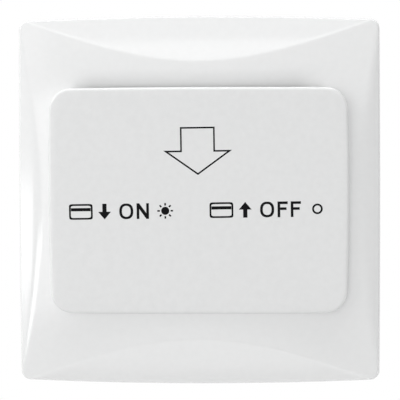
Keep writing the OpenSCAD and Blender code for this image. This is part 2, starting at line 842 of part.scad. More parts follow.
module varistor() color([0.2, 0.33, 0.5]) wall_view() behind_board(disc_at) {
    translate([0, 0, disc_r + disc_lift]) rotate([0, 90, 0]) cylinder(r = disc_r, h = disc_t, center = true);
    for (sy = [-1, 1]) translate([0, sy * disc_lead, 0]) cylinder(r = lead_r, h = disc_r);
}

module locator_led() color([0.75, 0.85, 0.95]) wall_view() translate([led_at[0], led_at[1], board_front]) {
    top = guide_h - 0.4 - board_front;
    foot = top - led_l;
    translate([0, 0, top - led_r]) sphere(led_r);
    translate([0, 0, foot]) cylinder(r = led_r, h = led_l - led_r);
    translate([0, 0, foot - led_rim_h / 4]) cylinder(r = led_r + led_rim, h = led_rim_h);
    for (sx = [-1, 1])
        translate([sx * leg_pitch / 2 - leg_w / 2, -leg_w / 2, 0])
            cube([leg_w, leg_w, foot + leg_w / 2]);
}

module terminal_block() color([0.2, 0.36, 0.28]) wall_view() {
    difference() {
        translate([0, block_y, block_end])
            linear_extrude(board_back - block_end)
                square([block_w, block_d], center = true);
        for (i = [0:poles - 1])
            translate([pole_x(i), block_y, 0]) {
                // Cavity around the clamp, open to the wire entry
                translate([0, 0.2, clamp_z])
                    cube([clamp_w + 0.3, clamp_l + 2.4, clamp_d + 0.6], center = true);
                translate([0, -block_d / 2, clamp_z])
                    cube([entry_w, block_d / 2, entry_w], center = true);
                // Stepped screw well
                translate([0, 0, block_end - cut]) {
                    cylinder(r = well_r, h = cut + well_h);
                    cylinder(r = terminal_screw[2] + 0.25, h = clamp_z - block_end + cut);
                }
            }
    }
}

module terminal_clamps() color(brass) wall_view() {
    for (i = [0:poles - 1])
        translate([pole_x(i), block_y, clamp_z])
            difference() {
                cube([clamp_w, clamp_l, clamp_d], center = true);
                translate([0, 0, 0.4]) cube([entry_w + 0.2, clamp_l + 2 * cut, clamp_d - 2.6], center = true);
                translate([0, 0, -clamp_d]) cylinder(r = terminal_screw[2] + screw_gap, h = clamp_d);
            }
}

module terminal_screws() color(steel) wall_view() {
    for (i = [0:poles - 1])
        translate([pole_x(i), block_y, block_end + well_h])
            rotate([180, 0, 0])
                pan_screw(terminal_screw, clamp_z - clamp_d / 2 - block_end - well_h + 2.4);
}

// The ear beside the lever that carries its pin
module pivot_ear() {
    difference() {
        union() {
            translate([pivot_s - 1.3, switch_h - 0.4]) square([2.6, pivot_t - switch_h + 0.4]);
            translate([pivot_s, pivot_t]) circle(1.3);
        }
        translate([pivot_s, pivot_t]) circle(pin_r + 0.02);
    }
}

module switch_case() color([0.13, 0.13, 0.14]) wall_view() switch_view() {
    difference() {
        translate([0, 0, -switch_w / 2]) cube([switch_l, switch_h, switch_w - switch_wall]);
        translate([switch_wall, switch_wall, -cavity_w / 2])
            cube([switch_l - 2 * switch_wall, switch_h - 2 * switch_wall, switch_w]);
        translate([plunger_s, switch_h - switch_wall - cut, 0])
            rotate([-90, 0, 0])
                cylinder(r = plunger_r + 0.08, h = switch_wall + 2 * cut);
        for (s = terminal_at)
            translate([s, 0, 0])
                cube([terminal_t + 0.1, 4 * switch_wall, terminal_w + 0.1], center = true);
    }
    translate([0, 0, -switch_w / 2]) linear_extrude(switch_wall) pivot_ear();
}

module switch_lid() color([0.7, 0.25, 0.15]) wall_view() switch_view() translate([0, 0, cavity_w / 2]) {
    linear_extrude(switch_wall) square([switch_l, switch_h]);
    linear_extrude(switch_wall) pivot_ear();
}

module common_terminal() color(brass) wall_view() switch_view() {
    fork_w = blade_w / 2 + 0.12;
    translate([blade_s - terminal_t / 2, terminal_foot, -terminal_w / 2])
        cube([terminal_t, blade_h - 1.6 - terminal_foot, terminal_w]);
    for (side = [-1, 1])
        translate([blade_s, 0, side * (fork_w + 0.2)])
            linear_extrude(0.4, center = true) {
                translate([-terminal_t, blade_h - 1.9]) square([2 * terminal_t, 1.9]);
                translate([0, blade_h]) circle(terminal_t);
            }
    translate([blade_s - terminal_t / 2, blade_h - 1.9, -fork_w - 0.4])
        cube([terminal_t, 0.5, 2 * fork_w + 0.8]);
    translate([blade_s, blade_h, 0]) cylinder(r = blade_pin_r, h = 2 * fork_w + 0.4, center = true);
}

module contact_button(at, h) {
    translate([at[0], at[1], 0]) rotate([-90, 0, 0]) cylinder(r = contact_r - 0.1, h = h);
}

module open_terminal() color(brass) wall_view() switch_view() {
    gap = touch_gap + 0.05 + (contact_r + 0.2) * sin(blade_travel);
    top = blade_h - (blade_s - contact_s) * tan(blade_travel) - contact_t - gap;
    linear_extrude(terminal_w, center = true)
        bent_strip(
            [[open_s, terminal_foot], [open_s, top - 0.65], [contact_s - 1, top - 0.65]],
            terminal_t, 0.5
        );
    contact_button([contact_s, top - 0.5], 0.5);
}

module closed_terminal() color(brass) wall_view() switch_view() {
    bottom = blade_h + contact_t + touch_gap;
    linear_extrude(terminal_w, center = true)
        bent_strip(
            [[closed_s, terminal_foot], [closed_s, bottom + 0.55], [contact_s + 0.9, bottom + 0.55]],
            terminal_t, 0.5
        );
    contact_button([contact_s, bottom], 0.4);
}

module switch_plunger() color([0.8, 0.2, 0.15]) wall_view() switch_view() translate([plunger_s, 0, 0]) {
    flange_top = switch_h - switch_wall - 0.1;
    rotate([-90, 0, 0]) {
        translate([0, 0, blade_h + blade_t / 2 + touch_gap + nub_r]) sphere(nub_r);
        translate([0, 0, flange_top - flange_t]) cylinder(r = flange_r, h = flange_t);
        translate([0, 0, flange_top - 0.3]) cylinder(r = plunger_r, h = plunger_mid - flange_top + 0.3);
        translate([0, 0, plunger_mid]) sphere(plunger_r);
    }
}

module switch_blade() color([0.8, 0.5, 0.3]) wall_view() switch_view() {
    linear_extrude(blade_w, center = true) {
        translate([blade_s, blade_h])
            difference() {
                circle(blade_eye_r);
                circle(blade_pin_r + screw_gap);
            }
        translate([contact_s - 0.5, blade_h - blade_t / 2])
            square([blade_s - contact_s - blade_eye_r + 0.7, blade_t]);
    }
    translate([contact_s, blade_h - contact_t, 0])
        rotate([-90, 0, 0])
            cylinder(r = contact_r, h = 2 * contact_t);
}

module card_lever() color(steel) wall_view() switch_view() translate([pivot_s, pivot_t, 0]) {
    rotate(lever_travel)
        linear_extrude(lever_w, center = true) {
            difference() {
                circle(eye_r);
                circle(pin_r + screw_gap);
            }
            bent_strip(
                [
                    [eye_r - 0.2, 0], [nose_reach * 0.49, 0], [nose_reach, nose_pressed + 0.1],
                    [nose_reach + tail_reach, -0.5]
                ],
                lever_t, nose_bend_r
            );
        }
}

module lever_pin() color(steel) wall_view() switch_view() {
    translate([pivot_s, pivot_t, 0]) cylinder(r = pin_r, h = switch_w, center = true);
}

front_frame();
card_panel();
card_guide();
guide_screws();
mounting_plate();
rear_housing();
housing_screws();
circuit_board();
board_screws();
relay();
film_capacitor();
electrolytic_capacitors();
controller_chip();
rectifier_diodes();
resistors();
varistor();
locator_led();
terminal_block();
terminal_clamps();
terminal_screws();
switch_case();
switch_lid();
common_terminal();
open_terminal();
closed_terminal();
switch_plunger();
switch_blade();
card_lever();
lever_pin();
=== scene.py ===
"""Looks of a hotel key card switch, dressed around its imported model.

Sizes are millimetres in the wall view, with x to the right, y up the wall and z out of it, until a mesh is made. Meshes
are metres in the row frame, where the wall view's z points to -Y and its y to Z.
"""

from __future__ import annotations

import logging
import math
from dataclasses import dataclass, field
from enum import Enum
from typing import Callable

import bmesh
import bpy
import numpy as np
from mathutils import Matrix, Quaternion, Vector


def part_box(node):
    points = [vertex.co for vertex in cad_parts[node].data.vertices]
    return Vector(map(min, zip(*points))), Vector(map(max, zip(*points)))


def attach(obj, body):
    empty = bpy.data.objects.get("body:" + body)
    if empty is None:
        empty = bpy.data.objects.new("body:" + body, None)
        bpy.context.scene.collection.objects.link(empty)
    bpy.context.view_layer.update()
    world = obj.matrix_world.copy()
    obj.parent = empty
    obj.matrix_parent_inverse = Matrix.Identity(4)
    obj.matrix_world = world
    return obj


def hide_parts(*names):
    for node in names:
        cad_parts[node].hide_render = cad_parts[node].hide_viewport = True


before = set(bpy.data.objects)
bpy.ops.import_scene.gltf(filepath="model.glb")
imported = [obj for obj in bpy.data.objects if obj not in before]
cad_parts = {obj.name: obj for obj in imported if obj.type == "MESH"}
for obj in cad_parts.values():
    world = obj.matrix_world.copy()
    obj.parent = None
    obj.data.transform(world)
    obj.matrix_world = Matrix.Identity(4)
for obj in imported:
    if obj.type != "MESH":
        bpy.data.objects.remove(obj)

LOG = logging.getLogger("key_card_switch")
MM = 0.001
MM_PER_M = 1000.0
MERGE = 2e-7  # points closer than this are one, in metres
SLIVER = 1e-7  # faces thinner than this go, in metres
TINY = 1e-12  # keeps a division from zero
FAR = 1000.0  # stands for far from any edge, in millimetres

Colour = tuple[float, float, float]
Point = tuple[float, float]
Spot = tuple[float, float, float]
Loops = list[list[Point]]
Feed = bpy.types.NodeSocket | float | tuple

WHITE: Colour = (1.0, 1.0, 1.0)
TIN: Colour = (0.72, 0.71, 0.68)


class RowAxis(Enum):
    """An axis of the row frame, with its place in a vector."""

    X = 0
    Y = 1
    Z = 2


class Effect(Enum):
    """A shader effect that several finishes share."""

    GRAIN = "mould_grain"
    SMUDGE = "handling_smudge"
    STREAKS = "rolled_streaks"


class Turn(Enum):
    """Which way a sign on the panel points."""

    DOWN = -1
    UP = 1


@dataclass
class Graph:
    """Makes and links the nodes of one tree."""

    tree: bpy.types.NodeTree

    def node(self, kind: str, **settings: object) -> bpy.types.Node:
        """Adds a node.

        Args:
            kind: Blender's name of the node type.
            **settings: Attributes to set on the node.

        Returns:
            The new node.
        """
        made = self.tree.nodes.new(kind)
        for name, value in settings.items():
            setattr(made, name, value)
        return made

    def feed(self, socket: bpy.types.NodeSocket, value: Feed) -> None:
        """Links a socket to another, or sets its plain value.

        Args:
            socket: The input to fill.
            value: An output socket, a number or a tuple.
        """
        if isinstance(value, bpy.types.NodeSocket):
            self.tree.links.new(value, socket)
        else:
            socket.default_value = value

    def fill(self, made: bpy.types.Node, **values: Feed) -> bpy.types.Node:
        """Fills inputs of a node by name, with _ for a space.

        Args:
            made: The node.
            **values: What each input gets.

        Returns:
            The same node.
        """
        for name, value in values.items():
            self.feed(made.inputs[name.replace("_", " ")], value)
        return made

    def math(self, operation: str, *values: Feed) -> bpy.types.NodeSocket:
        """Adds a math node.

        Args:
            operation: The node's operation.
            *values: Its inputs in order.

        Returns:
            The result's socket.
        """
        made = self.node("ShaderNodeMath", operation=operation)
        for socket, value in zip(made.inputs, values):
            self.feed(socket, value)
        return made.outputs[0]

    def blend(self, share: Feed, low: Feed, high: Feed) -> bpy.types.NodeSocket:
        """Mixes two colours.

        Args:
            share: How much of the second colour.
            low: The first colour.
            high: The second colour.

        Returns:
            The mixed colour's socket.
        """
        made = self.node("ShaderNodeMix", data_type="RGBA")
        self.feed(made.inputs[0], share)
        colours = [socket for socket in made.inputs if socket.type == "RGBA"]
        for socket, value in zip(colours, (low, high)):
            self.feed(socket, value if isinstance(value, bpy.types.NodeSocket) else (*value, 1.0))
        return next(socket for socket in made.outputs if socket.type == "RGBA")

    def seen(self) -> bpy.types.NodeSocket:
        """Tells whether a ray sees the surface, straight or in a gloss or glass.

        Returns:
            The socket, 1 for such rays.
        """
        rays = self.node("ShaderNodeLightPath").outputs
        direct = self.math("MAXIMUM", rays["Is Camera Ray"], rays["Is Glossy Ray"])
        return self.math("MAXIMUM", direct, rays["Is Transmission Ray"])

    def ramp(self, value: Feed, low: Feed, high: Feed, start: float = 0.0, end: float = 1.0) -> bpy.types.NodeSocket:
        """Maps a value to a range.

        Args:
            value: What is mapped.
            low: Result at the start.
            high: Result at the end.
            start: Lower end of the source range.
            end: Upper end of the source range.

        Returns:
            The mapped value's socket.
        """
        made = self.node("ShaderNodeMapRange")
        for socket, given in zip(made.inputs, (value, start, end, low, high)):
            self.feed(socket, given)
        return made.outputs[0]

    def above(self, value: Feed, limit: float, soft: float = 0.00004) -> bpy.types.NodeSocket:
        """A mask that is 1 where a value passes a limit, with a narrow soft edge.

        Args:
            value: What is compared, in metres.
            limit: The limit, in metres.
            soft: Half the width of the edge, in metres.

        Returns:
            The mask's socket.
        """
        return self.ramp(value, 0.0, 1.0, limit - soft, limit + soft)

    def place(self) -> bpy.types.NodeSocket:
        """The point of the surface in Object coordinates."""
        return self.node("ShaderNodeTexCoord").outputs["Object"]

    def axes(self) -> list[bpy.types.NodeSocket]:
        """Splits the surface point into its row axes.

        Returns:
            The sockets of X, Y and Z.
        """
        made = self.node("ShaderNodeSeparateXYZ")
        self.feed(made.inputs[0], self.place())
        return list(made.outputs)

    def cells(self, size: Feed) -> bpy.types.NodeSocket:
        """Cells per metre for a cell size in millimetres."""
        return self.math("DIVIDE", MM_PER_M, size)

    def noise(self, point: Feed, scale: Feed, detail: float = 2.0) -> bpy.types.NodeSocket:
        """Adds a noise texture.

        Args:
            point: Where it is read.
            scale: Cells per metre.
            detail: Octaves.

        Returns:
            The noise's value.
        """
        made = self.node("ShaderNodeTexNoise", noise_dimensions="3D")
        self.fill(made, Vector=point, Scale=scale, Detail=detail)
        return made.outputs[0]


class Effects:
    """The shader node groups that several finishes share, each built once."""

    @staticmethod
    def group(effect: Effect) -> bpy.types.ShaderNodeTree:
        """Gives an effect's node group.

        Args:
            effect: Which effect.

        Returns:
            The group, built on first use.
        """
        found = bpy.data.node_groups.get(effect.value)
        if found is not None:
            return found
        makers: dict[Effect, Callable[[bpy.types.ShaderNodeTree], None]] = {
            Effect.GRAIN: Effects._grain,
            Effect.SMUDGE: Effects._smudge,
            Effect.STREAKS: Effects._streaks,
        }
        made = bpy.data.node_groups.new(effect.value, "ShaderNodeTree")
        makers[effect](made)
        return made

    @staticmethod
    def _sockets(tree: bpy.types.ShaderNodeTree, inputs: dict[str, str], outputs: list[str]) -> None:
        """Makes a group's sockets.

        Args:
            tree: The group.
            inputs: Socket type of each input.
            outputs: Names of the value outputs.
        """
        for name, kind in inputs.items():
            tree.interface.new_socket(name=name, in_out="INPUT", socket_type=kind)
        for name in outputs:
            tree.interface.new_socket(name=name, in_out="OUTPUT", socket_type="NodeSocketFloat")

    @staticmethod
    def _grain(tree: bpy.types.ShaderNodeTree) -> None:
        """Spark-eroded mould grain and the slow patches of a moulding's colour.

        Args:
            tree: The empty group.
        """
        Effects._sockets(tree, {"Grain": "NodeSocketFloat", "Patch": "NodeSocketFloat"}, ["Height", "Mottle"])
        graph = Graph(tree)
        sizes = graph.node("NodeGroupInput").outputs
        place = graph.place()
        fine = graph.noise(place, graph.cells(sizes["Grain"]), detail=3.0)
        slow = graph.noise(place, graph.cells(sizes["Patch"]))
        graph.fill(graph.node("NodeGroupOutput"), Height=fine, Mottle=slow)

    @staticmethod
    def _smudge(tree: bpy.types.ShaderNodeTree) -> None:
        """Faint touched patches, which are a little duller.

        Args:
            tree: The empty group.
        """
        Effects._sockets(tree, {"Size": "NodeSocketFloat"}, ["Mask"])
        graph = Graph(tree)
        size = graph.node("NodeGroupInput").outputs["Size"]
        cloud = graph.noise(graph.place(), graph.cells(size), detail=4.0)
        graph.fill(graph.node("NodeGroupOutput"), Mask=graph.ramp(cloud, 0.0, 1.0, start=0.42, end=0.68))

    @staticmethod
    def _streaks(tree: bpy.types.ShaderNodeTree) -> None:
        """Fine lines of rolled or plated metal along one axis.

        Args:
            tree: The empty group.
        """
        Effects._sockets(tree, {"Size": "NodeSocketFloat", "Along": "NodeSocketVector"}, ["Height", "Tone"])
        graph = Graph(tree)
        given = graph.node("NodeGroupInput").outputs
        stretched = graph.node("ShaderNodeVectorMath", operation="MULTIPLY")
        graph.feed(stretched.inputs[0], graph.place())
        graph.feed(stretched.inputs[1], given["Along"])
        scale = graph.cells(given["Size"])
        cloud_share = 0.08
        cloud_scale = graph.math("MULTIPLY", scale, cloud_share)
        lines = graph.noise(stretched.outputs[0], scale, detail=4.0)
        cloud = graph.noise(graph.place(), cloud_scale)
        graph.fill(graph.node("NodeGroupOutput"), Height=lines, Tone=graph.math("MULTIPLY", lines, cloud))


@dataclass(frozen=True)
class Finish:
    """A material with one Principled shader; the kinds below dress it.

    Sizes of grain, patches and touched spots and depths of bumps are millimetres. Places and sizes on a piece are
    metres in the row frame. A span gives the two ends of a range.
    """

    name: str
    colour: Colour

    def material(self) -> bpy.types.Material:
        """Gives the finish's material.

        Returns:
            The material, built on first use.
        """
        found = bpy.data.materials.get(self.name)
        if found is not None:
            return found
        made = bpy.data.materials.new(self.name)
        made.use_nodes = True
        shader = made.node_tree.nodes["Principled BSDF"]
        self.dress(Graph(made.node_tree), shader)
        return made

    def dress(self, graph: Graph, shader: bpy.types.Node) -> None:
        """Fills the shader; each kind of finish has its own way.

        Args:
            graph: The material's tree.
            shader: Its Principled shader.
        """
        raise NotImplementedError

    def shade(self, share: float) -> Colour:
        """The colour darkened by a share."""
        return tuple(value * (1.0 - share) for value in self.colour)

    @staticmethod
    def effect(graph: Graph, effect: Effect, **sizes: Feed) -> bpy.types.Node:
        """Places a shared effect in the material.

        Args:
            graph: The material's tree.
            effect: Which effect.
            **sizes: Its inputs.

        Returns:
            The group node.
        """
        return graph.fill(graph.node("ShaderNodeGroup", node_tree=Effects.group(effect)), **sizes)

    @staticmethod
    def bump(graph: Graph, shader: bpy.types.Node, height: Feed, depth: float, strength: float = 1.0) -> None:
        """Feeds the shader's normal from a height.

        Args:
            graph: The material's tree.
            shader: The shader.
            height: Height from 0 to 1.
            depth: What a height of 1 means, in millimetres.
            strength: Strength of the bump.
        """
        made = graph.node("ShaderNodeBump")
        graph.fill(made, Strength=strength, Distance=depth * MM, Height=height)
        graph.feed(shader.inputs["Normal"], made.outputs[0])


@dataclass(frozen=True)
class Moulding(Finish):
    """Moulded plastic with mould grain, slow colour patches and touched spots."""

    roughness: float = 0.4
    grain: float = 0.25
    depth: float = 0.004
    mottle: float = 0.03
    patch: float = 9.0
    dulling: float = 0.06
    ior: float = 1.5
    touch: float = 14.0

    def dress(self, graph: Graph, shader: bpy.types.Node) -> None:
        """Sets colour, gloss and grain.

        Args:
            graph: The material's tree.
            shader: Its Principled shader.
        """
        grain = self.effect(graph, Effect.GRAIN, Grain=self.grain, Patch=self.patch)
        touched = self.effect(graph, Effect.SMUDGE, Size=self.touch)
        graph.feed(
            shader.inputs["Base Color"], graph.blend(grain.outputs["Mottle"], self.colour, self.shade(self.mottle))
        )
        graph.feed(
            shader.inputs["Roughness"],
            graph.ramp(touched.outputs["Mask"], self.roughness, self.roughness + self.dulling),
        )
        shader.inputs["IOR"].default_value = self.ior
        self.bump(graph, shader, grain.outputs["Height"], self.depth)


@dataclass(frozen=True)
class Metal(Finish):
    """Rolled or plated metal with fine streaks along one axis."""

    roughness: float = 0.3
    along: RowAxis = RowAxis.Z
    streak: float = 0.12
    depth: float = 0.003
    tarnish: float = 0.18
    stretch: float = 0.06
    touch: float = 3.0
    gloss_span: Point = (0.8, 1.35)
    tone_span: Point = (0.1, 0.5)

    def dress(self, graph: Graph, shader: bpy.types.Node) -> None:
        """Sets metal, tone and streaks.

        Args:
            graph: The material's tree.
            shader: Its Principled shader.
        """
        scale = [1.0, 1.0, 1.0]
        scale[self.along.value] = self.stretch
        streaks = self.effect(graph, Effect.STREAKS, Size=self.streak, Along=tuple(scale))
        touched = self.effect(graph, Effect.SMUDGE, Size=self.touch)
        low, high = (self.roughness * share for share in self.gloss_span)
        shader.inputs["Metallic"].default_value = 1.0
        graph.feed(
            shader.inputs["Base Color"], graph.blend(touched.outputs["Mask"], self.colour, self.shade(self.tarnish))
        )
        graph.feed(shader.inputs["Roughness"], graph.ramp(streaks.outputs["Tone"], low, high, *self.tone_span))
        self.bump(graph, shader, streaks.outputs["Height"], self.depth)


@dataclass(frozen=True)
class Ink(Finish):
    """Screen-printed ink, slightly uneven over the grain below it."""

    grain: float = 0.12
    patch: float = 1.5
    unevenness: float = 0.004
    gloss_span: Point = (0.42, 0.55)
    specular: float = 0.03
    depth: float = 0.003

    def dress(self, graph: Graph, shader: bpy.types.Node) -> None:
        """Sets colour and a faint unevenness.

        Args:
            graph: The material's tree.
            shader: Its Principled shader.
        """
        grain = self.effect(graph, Effect.GRAIN, Grain=self.grain, Patch=self.patch)
        paler = tuple(value + self.unevenness for value in self.colour)
        graph.feed(shader.inputs["Base Color"], graph.blend(grain.outputs["Mottle"], self.colour, paler))
        graph.feed(shader.inputs["Roughness"], graph.ramp(grain.outputs["Mottle"], *self.gloss_span))
        shader.inputs["Specular IOR Level"].default_value = self.specular
        self.bump(graph, shader, grain.outputs["Height"], self.depth)


@dataclass(frozen=True)
class Laminate(Finish):
    """A circuit board: solder mask, copper tracks under it and the bare edge of the glass laminate."""

    edge: Colour = (0.55, 0.5, 0.3)
    front: float = 0.0065
    back: float = 0.0081
    skin: float = 0.00012
    lane: float = 0.0013
    lane_gap: float = 0.00095
    bends_per_m: float = 140.0
    bend: float = 0.0031
    track_limit: float = 0.47
    track_soft: float = 0.02
    track_gain: float = 1.9
    track_lift: float = 0.01
    weave: float = 0.35
    weave_share: float = 0.2
    patch: float = 6.0
    gloss_span: Point = (0.26, 0.42)
    depth: float = 0.03

    def dress(self, graph: Graph, shader: bpy.types.Node) -> None:
        """Sets mask, tracks and edge.

        Args:
            graph: The material's tree.
            shader: Its Principled shader.
        """
        x, y, z = graph.axes()
        weave = self.effect(graph, Effect.GRAIN, Grain=self.weave, Patch=self.patch)
        steps = graph.math("ROUND", graph.math("MULTIPLY", z, self.bends_per_m))
        bent = graph.math("ADD", x, graph.math("MULTIPLY", steps, self.bend))
        lanes = graph.above(graph.math("PINGPONG", bent, self.lane), self.lane_gap)
        kept = graph.above(weave.outputs["Mottle"], self.track_limit, self.track_soft)
        tracks = graph.math("MULTIPLY", lanes, kept)
        paler = tuple(value * self.track_gain + self.track_lift for value in self.colour)
        mask = graph.blend(tracks, self.colour, paler)
        past_front = graph.above(y, self.front + self.skin)
        past_back = graph.math("MULTIPLY", past_front, graph.above(y, self.back - self.skin))
        between = graph.math("SUBTRACT", past_front, past_back)
        graph.feed(shader.inputs["Base Color"], graph.blend(between, mask, self.edge))
        graph.feed(shader.inputs["Roughness"], graph.ramp(weave.outputs["Mottle"], *self.gloss_span))
        height = graph.math("ADD", tracks, graph.math("MULTIPLY", weave.outputs["Height"], self.weave_share))
        self.bump(graph, shader, height, self.depth)


@dataclass(frozen=True)
class Leaded(Finish):
    """A moulded body on tinned leads; a limit along one row axis from a middle parts body and leads."""

    axis: RowAxis = RowAxis.Y
    middle: float = 0.0
    reach: float = 0.003
    roughness: float = 0.45
    grain: float = 0.18
    patch: float = 4.0
    mottle: float = 0.25
    depth: float = 0.01
    tin: Colour = TIN
    tin_roughness: float = 0.28

    def dress(self, graph: Graph, shader: bpy.types.Node) -> None:
        """Sets body colour within the reach and tin beyond it.

        Args:
            graph: The material's tree.
            shader: Its Principled shader.
        """
        along = graph.math("ABSOLUTE", graph.math("SUBTRACT", graph.axes()[self.axis.value], self.middle))
        lead = graph.above(along, self.reach)
        grain = self.effect(graph, Effect.GRAIN, Grain=self.grain, Patch=self.patch)
        body = graph.blend(grain.outputs["Mottle"], self.colour, self.shade(self.mottle))
        graph.feed(shader.inputs["Base Color"], graph.blend(lead, body, self.tin))
        graph.feed(shader.inputs["Metallic"], lead)
        graph.feed(shader.inputs["Roughness"], graph.ramp(lead, self.roughness, self.tin_roughness))
        self.bump(graph, shader, grain.outputs["Height"], self.depth)


@dataclass(frozen=True)
class Banded(Finish):
    """Parts in a row on bent leads, each a body with painted bands round it.

    The row starts at one part's middle and repeats along X; the bodies lie along one row axis. The row is shifted by
    whole pitches and a half before it is cut into pitches, so that every part lies in the middle of its own.
    """

    lie: RowAxis = RowAxis.X
    middle: Spot = (0.0, 0.0, 0.0)
    pitch: float = 0.005
    body_half: float = 0.0017
    lead_r: float = 0.00055
    bands: tuple[tuple[float, float, Colour], ...] = ()
    roughness: float = 0.4
    shift: float = 20.5
    grain: float = 0.3
    patch: float = 3.0
    mottle: float = 0.2
    depth: float = 0.012
    tin: Colour = TIN
    tin_roughness: float = 0.28

    def dress(self, graph: Graph, shader: bpy.types.Node) -> None:
        """Sets the body, its bands and the tinned leads.

        Args:
            graph: The material's tree.
            shader: Its Principled shader.
        """
        x, y, z = graph.axes()
        shifted = graph.math("ADD", graph.math("SUBTRACT", x, self.middle[0]), self.pitch * self.shift)
        own_x = graph.math("SUBTRACT", graph.math("MODULO", shifted, self.pitch), self.pitch / 2.0)
        own_z = graph.math("SUBTRACT", z, self.middle[2])
        own_y = graph.math("SUBTRACT", y, self.middle[1])
        along, across = (own_x, own_z) if self.lie is RowAxis.X else (own_z, own_x)
        radius = graph.math(
            "SQRT", graph.math("ADD", graph.math("MULTIPLY", across, across), graph.math("MULTIPLY", own_y, own_y))
        )
        on_body = graph.math(
            "MULTIPLY",
            graph.above(radius, self.lead_r),
            graph.math("SUBTRACT", 1.0, graph.above(graph.math("ABSOLUTE", along), self.body_half)),
        )
        grain = self.effect(graph, Effect.GRAIN, Grain=self.grain, Patch=self.patch)
        colour = graph.blend(grain.outputs["Mottle"], self.colour, self.shade(self.mottle))
        for offset, width, paint in self.bands:
            far = graph.math("ABSOLUTE", graph.math("SUBTRACT", along, offset))
            colour = graph.blend(graph.math("SUBTRACT", 1.0, graph.above(far, width / 2.0)), colour, paint)
        lead = graph.math("SUBTRACT", 1.0, on_body)
        graph.feed(shader.inputs["Base Color"], graph.blend(lead, colour, self.tin))
        graph.feed(shader.inputs["Metallic"], lead)
        graph.feed(shader.inputs["Roughness"], graph.ramp(lead, self.roughness, self.tin_roughness))
        self.bump(graph, shader, grain.outputs["Height"], self.depth)


@dataclass(frozen=True)
class Sleeved(Finish):
    """Capacitor cans in a printed sleeve with a pale stripe, and a bare aluminium end."""

    middles: tuple[float, ...] = ()
    end: float = 0.02
    stripe: Colour = (0.62, 0.66, 0.7)
    metal: Colour = (0.78, 0.79, 0.8)
    stripe_half: float = 0.0009
    grain: float = 0.2
    patch: float = 5.0
    mottle: float = 0.25
    gloss_span: Point = (0.25, 0.4)
    depth: float = 0.006

    def dress(self, graph: Graph, shader: bpy.types.Node) -> None:
        """Sets sleeve, stripe and end.

        Args:
            graph: The material's tree.
            shader: Its Principled shader.
        """
        x, y, _ = graph.axes()
        grain = self.effect(graph, Effect.GRAIN, Grain=self.grain, Patch=self.patch)
        colour = graph.blend(grain.outputs["Mottle"], self.colour, self.shade(self.mottle))
        for middle in self.middles:
            far = graph.math("ABSOLUTE", graph.math("SUBTRACT", x, middle))
            near = graph.math("SUBTRACT", 1.0, graph.above(far, self.stripe_half))
            colour = graph.blend(near, colour, self.stripe)
        bare = graph.above(y, self.end)
        graph.feed(shader.inputs["Base Color"], graph.blend(bare, colour, self.metal))
        graph.feed(shader.inputs["Metallic"], bare)
        graph.feed(shader.inputs["Roughness"], graph.ramp(grain.outputs["Mottle"], *self.gloss_span))
        self.bump(graph, shader, grain.outputs["Height"], self.depth)


@dataclass(frozen=True)
class ClearLens(Finish):
    """A clear moulded lamp."""

    flow: float = 0.6
    patch: float = 1.2
    mottle: float = 0.12
    clearness: float = 0.85
    ior: float = 1.5
    gloss_span: Point = (0.04, 0.14)
    depth: float = 0.01

    def dress(self, graph: Graph, shader: bpy.types.Node) -> None:
        """Sets clear plastic with faint flow marks.

        Args:
            graph: The material's tree.
            shader: Its Principled shader.
        """
        flow = self.effect(graph, Effect.GRAIN, Grain=self.flow, Patch=self.patch)
        darker = self.shade(self.mottle)
        graph.feed(shader.inputs["Base Color"], graph.blend(flow.outputs["Mottle"], self.colour, darker))
        shader.inputs["Transmission Weight"].default_value = self.clearness
        shader.inputs["IOR"].default_value = self.ior
        graph.feed(shader.inputs["Roughness"], graph.ramp(flow.outputs["Mottle"], *self.gloss_span))
        self.bump(graph, shader, flow.outputs["Height"], self.depth)


@dataclass(frozen=True)
class PaleGround(Finish):
    """The studio floor, which is nearly white where it is seen."""

    glow: float = 0.18
    grain: float = 4.0
    patch: float = 300.0
    mottle: float = 0.02
    gloss_span: Point = (0.8, 0.9)

    def dress(self, graph: Graph, shader: bpy.types.Node) -> None:
        """Sets a matt pale ground with slow patches.

        Args:
            graph: The material's tree.
            shader: Its Principled shader.
        """
        shader.inputs["Emission Color"].default_value = (*WHITE, 1.0)
        graph.feed(shader.inputs["Emission Strength"], graph.math("MULTIPLY", graph.seen(), self.glow))
        cloud = self.effect(graph, Effect.GRAIN, Grain=self.grain, Patch=self.patch)
        darker = self.shade(self.mottle)
        graph.feed(shader.inputs["Base Color"], graph.blend(cloud.outputs["Mottle"], self.colour, darker))
        graph.feed(shader.inputs["Roughness"], graph.ramp(cloud.outputs["Mottle"], *self.gloss_span))


def to_row(points: np.ndarray) -> np.ndarray:
    """Turns wall-view points into the row frame.

    Args:
        points: Rows of x, y and z in millimetres.

    Returns:
        Rows of X, Y and Z in metres.
    """
    return np.stack([points[:, 0], -points[:, 2], points[:, 1]], axis=1) * MM


def new_object(name: str, points: np.ndarray, faces: list[tuple[int, ...]]) -> bpy.types.Object:
    """Makes a mesh object at the origin.

    Args:
        name: The object's name.
        points: Its points in metres.
        faces: Point numbers of each face.

    Returns:
        The object, linked to the scene.
    """
    mesh = bpy.data.meshes.new(name)
    mesh.from_pydata([tuple(point) for point in points], [], faces)
    mesh.update()
    made = bpy.data.objects.new(name, mesh)
    bpy.context.scene.collection.objects.link(made)
    return made


def evaluate(piece: bpy.types.Object) -> None:
    """Turns a piece and its modifiers into one plain mesh.

    Args:
        piece: The piece, which loses its modifiers.
    """
    graph = bpy.context.evaluated_depsgraph_get()
    mesh = bpy.data.meshes.new_from_object(piece.evaluated_get(graph), depsgraph=graph)
    piece.modifiers.clear()
    piece.data = mesh


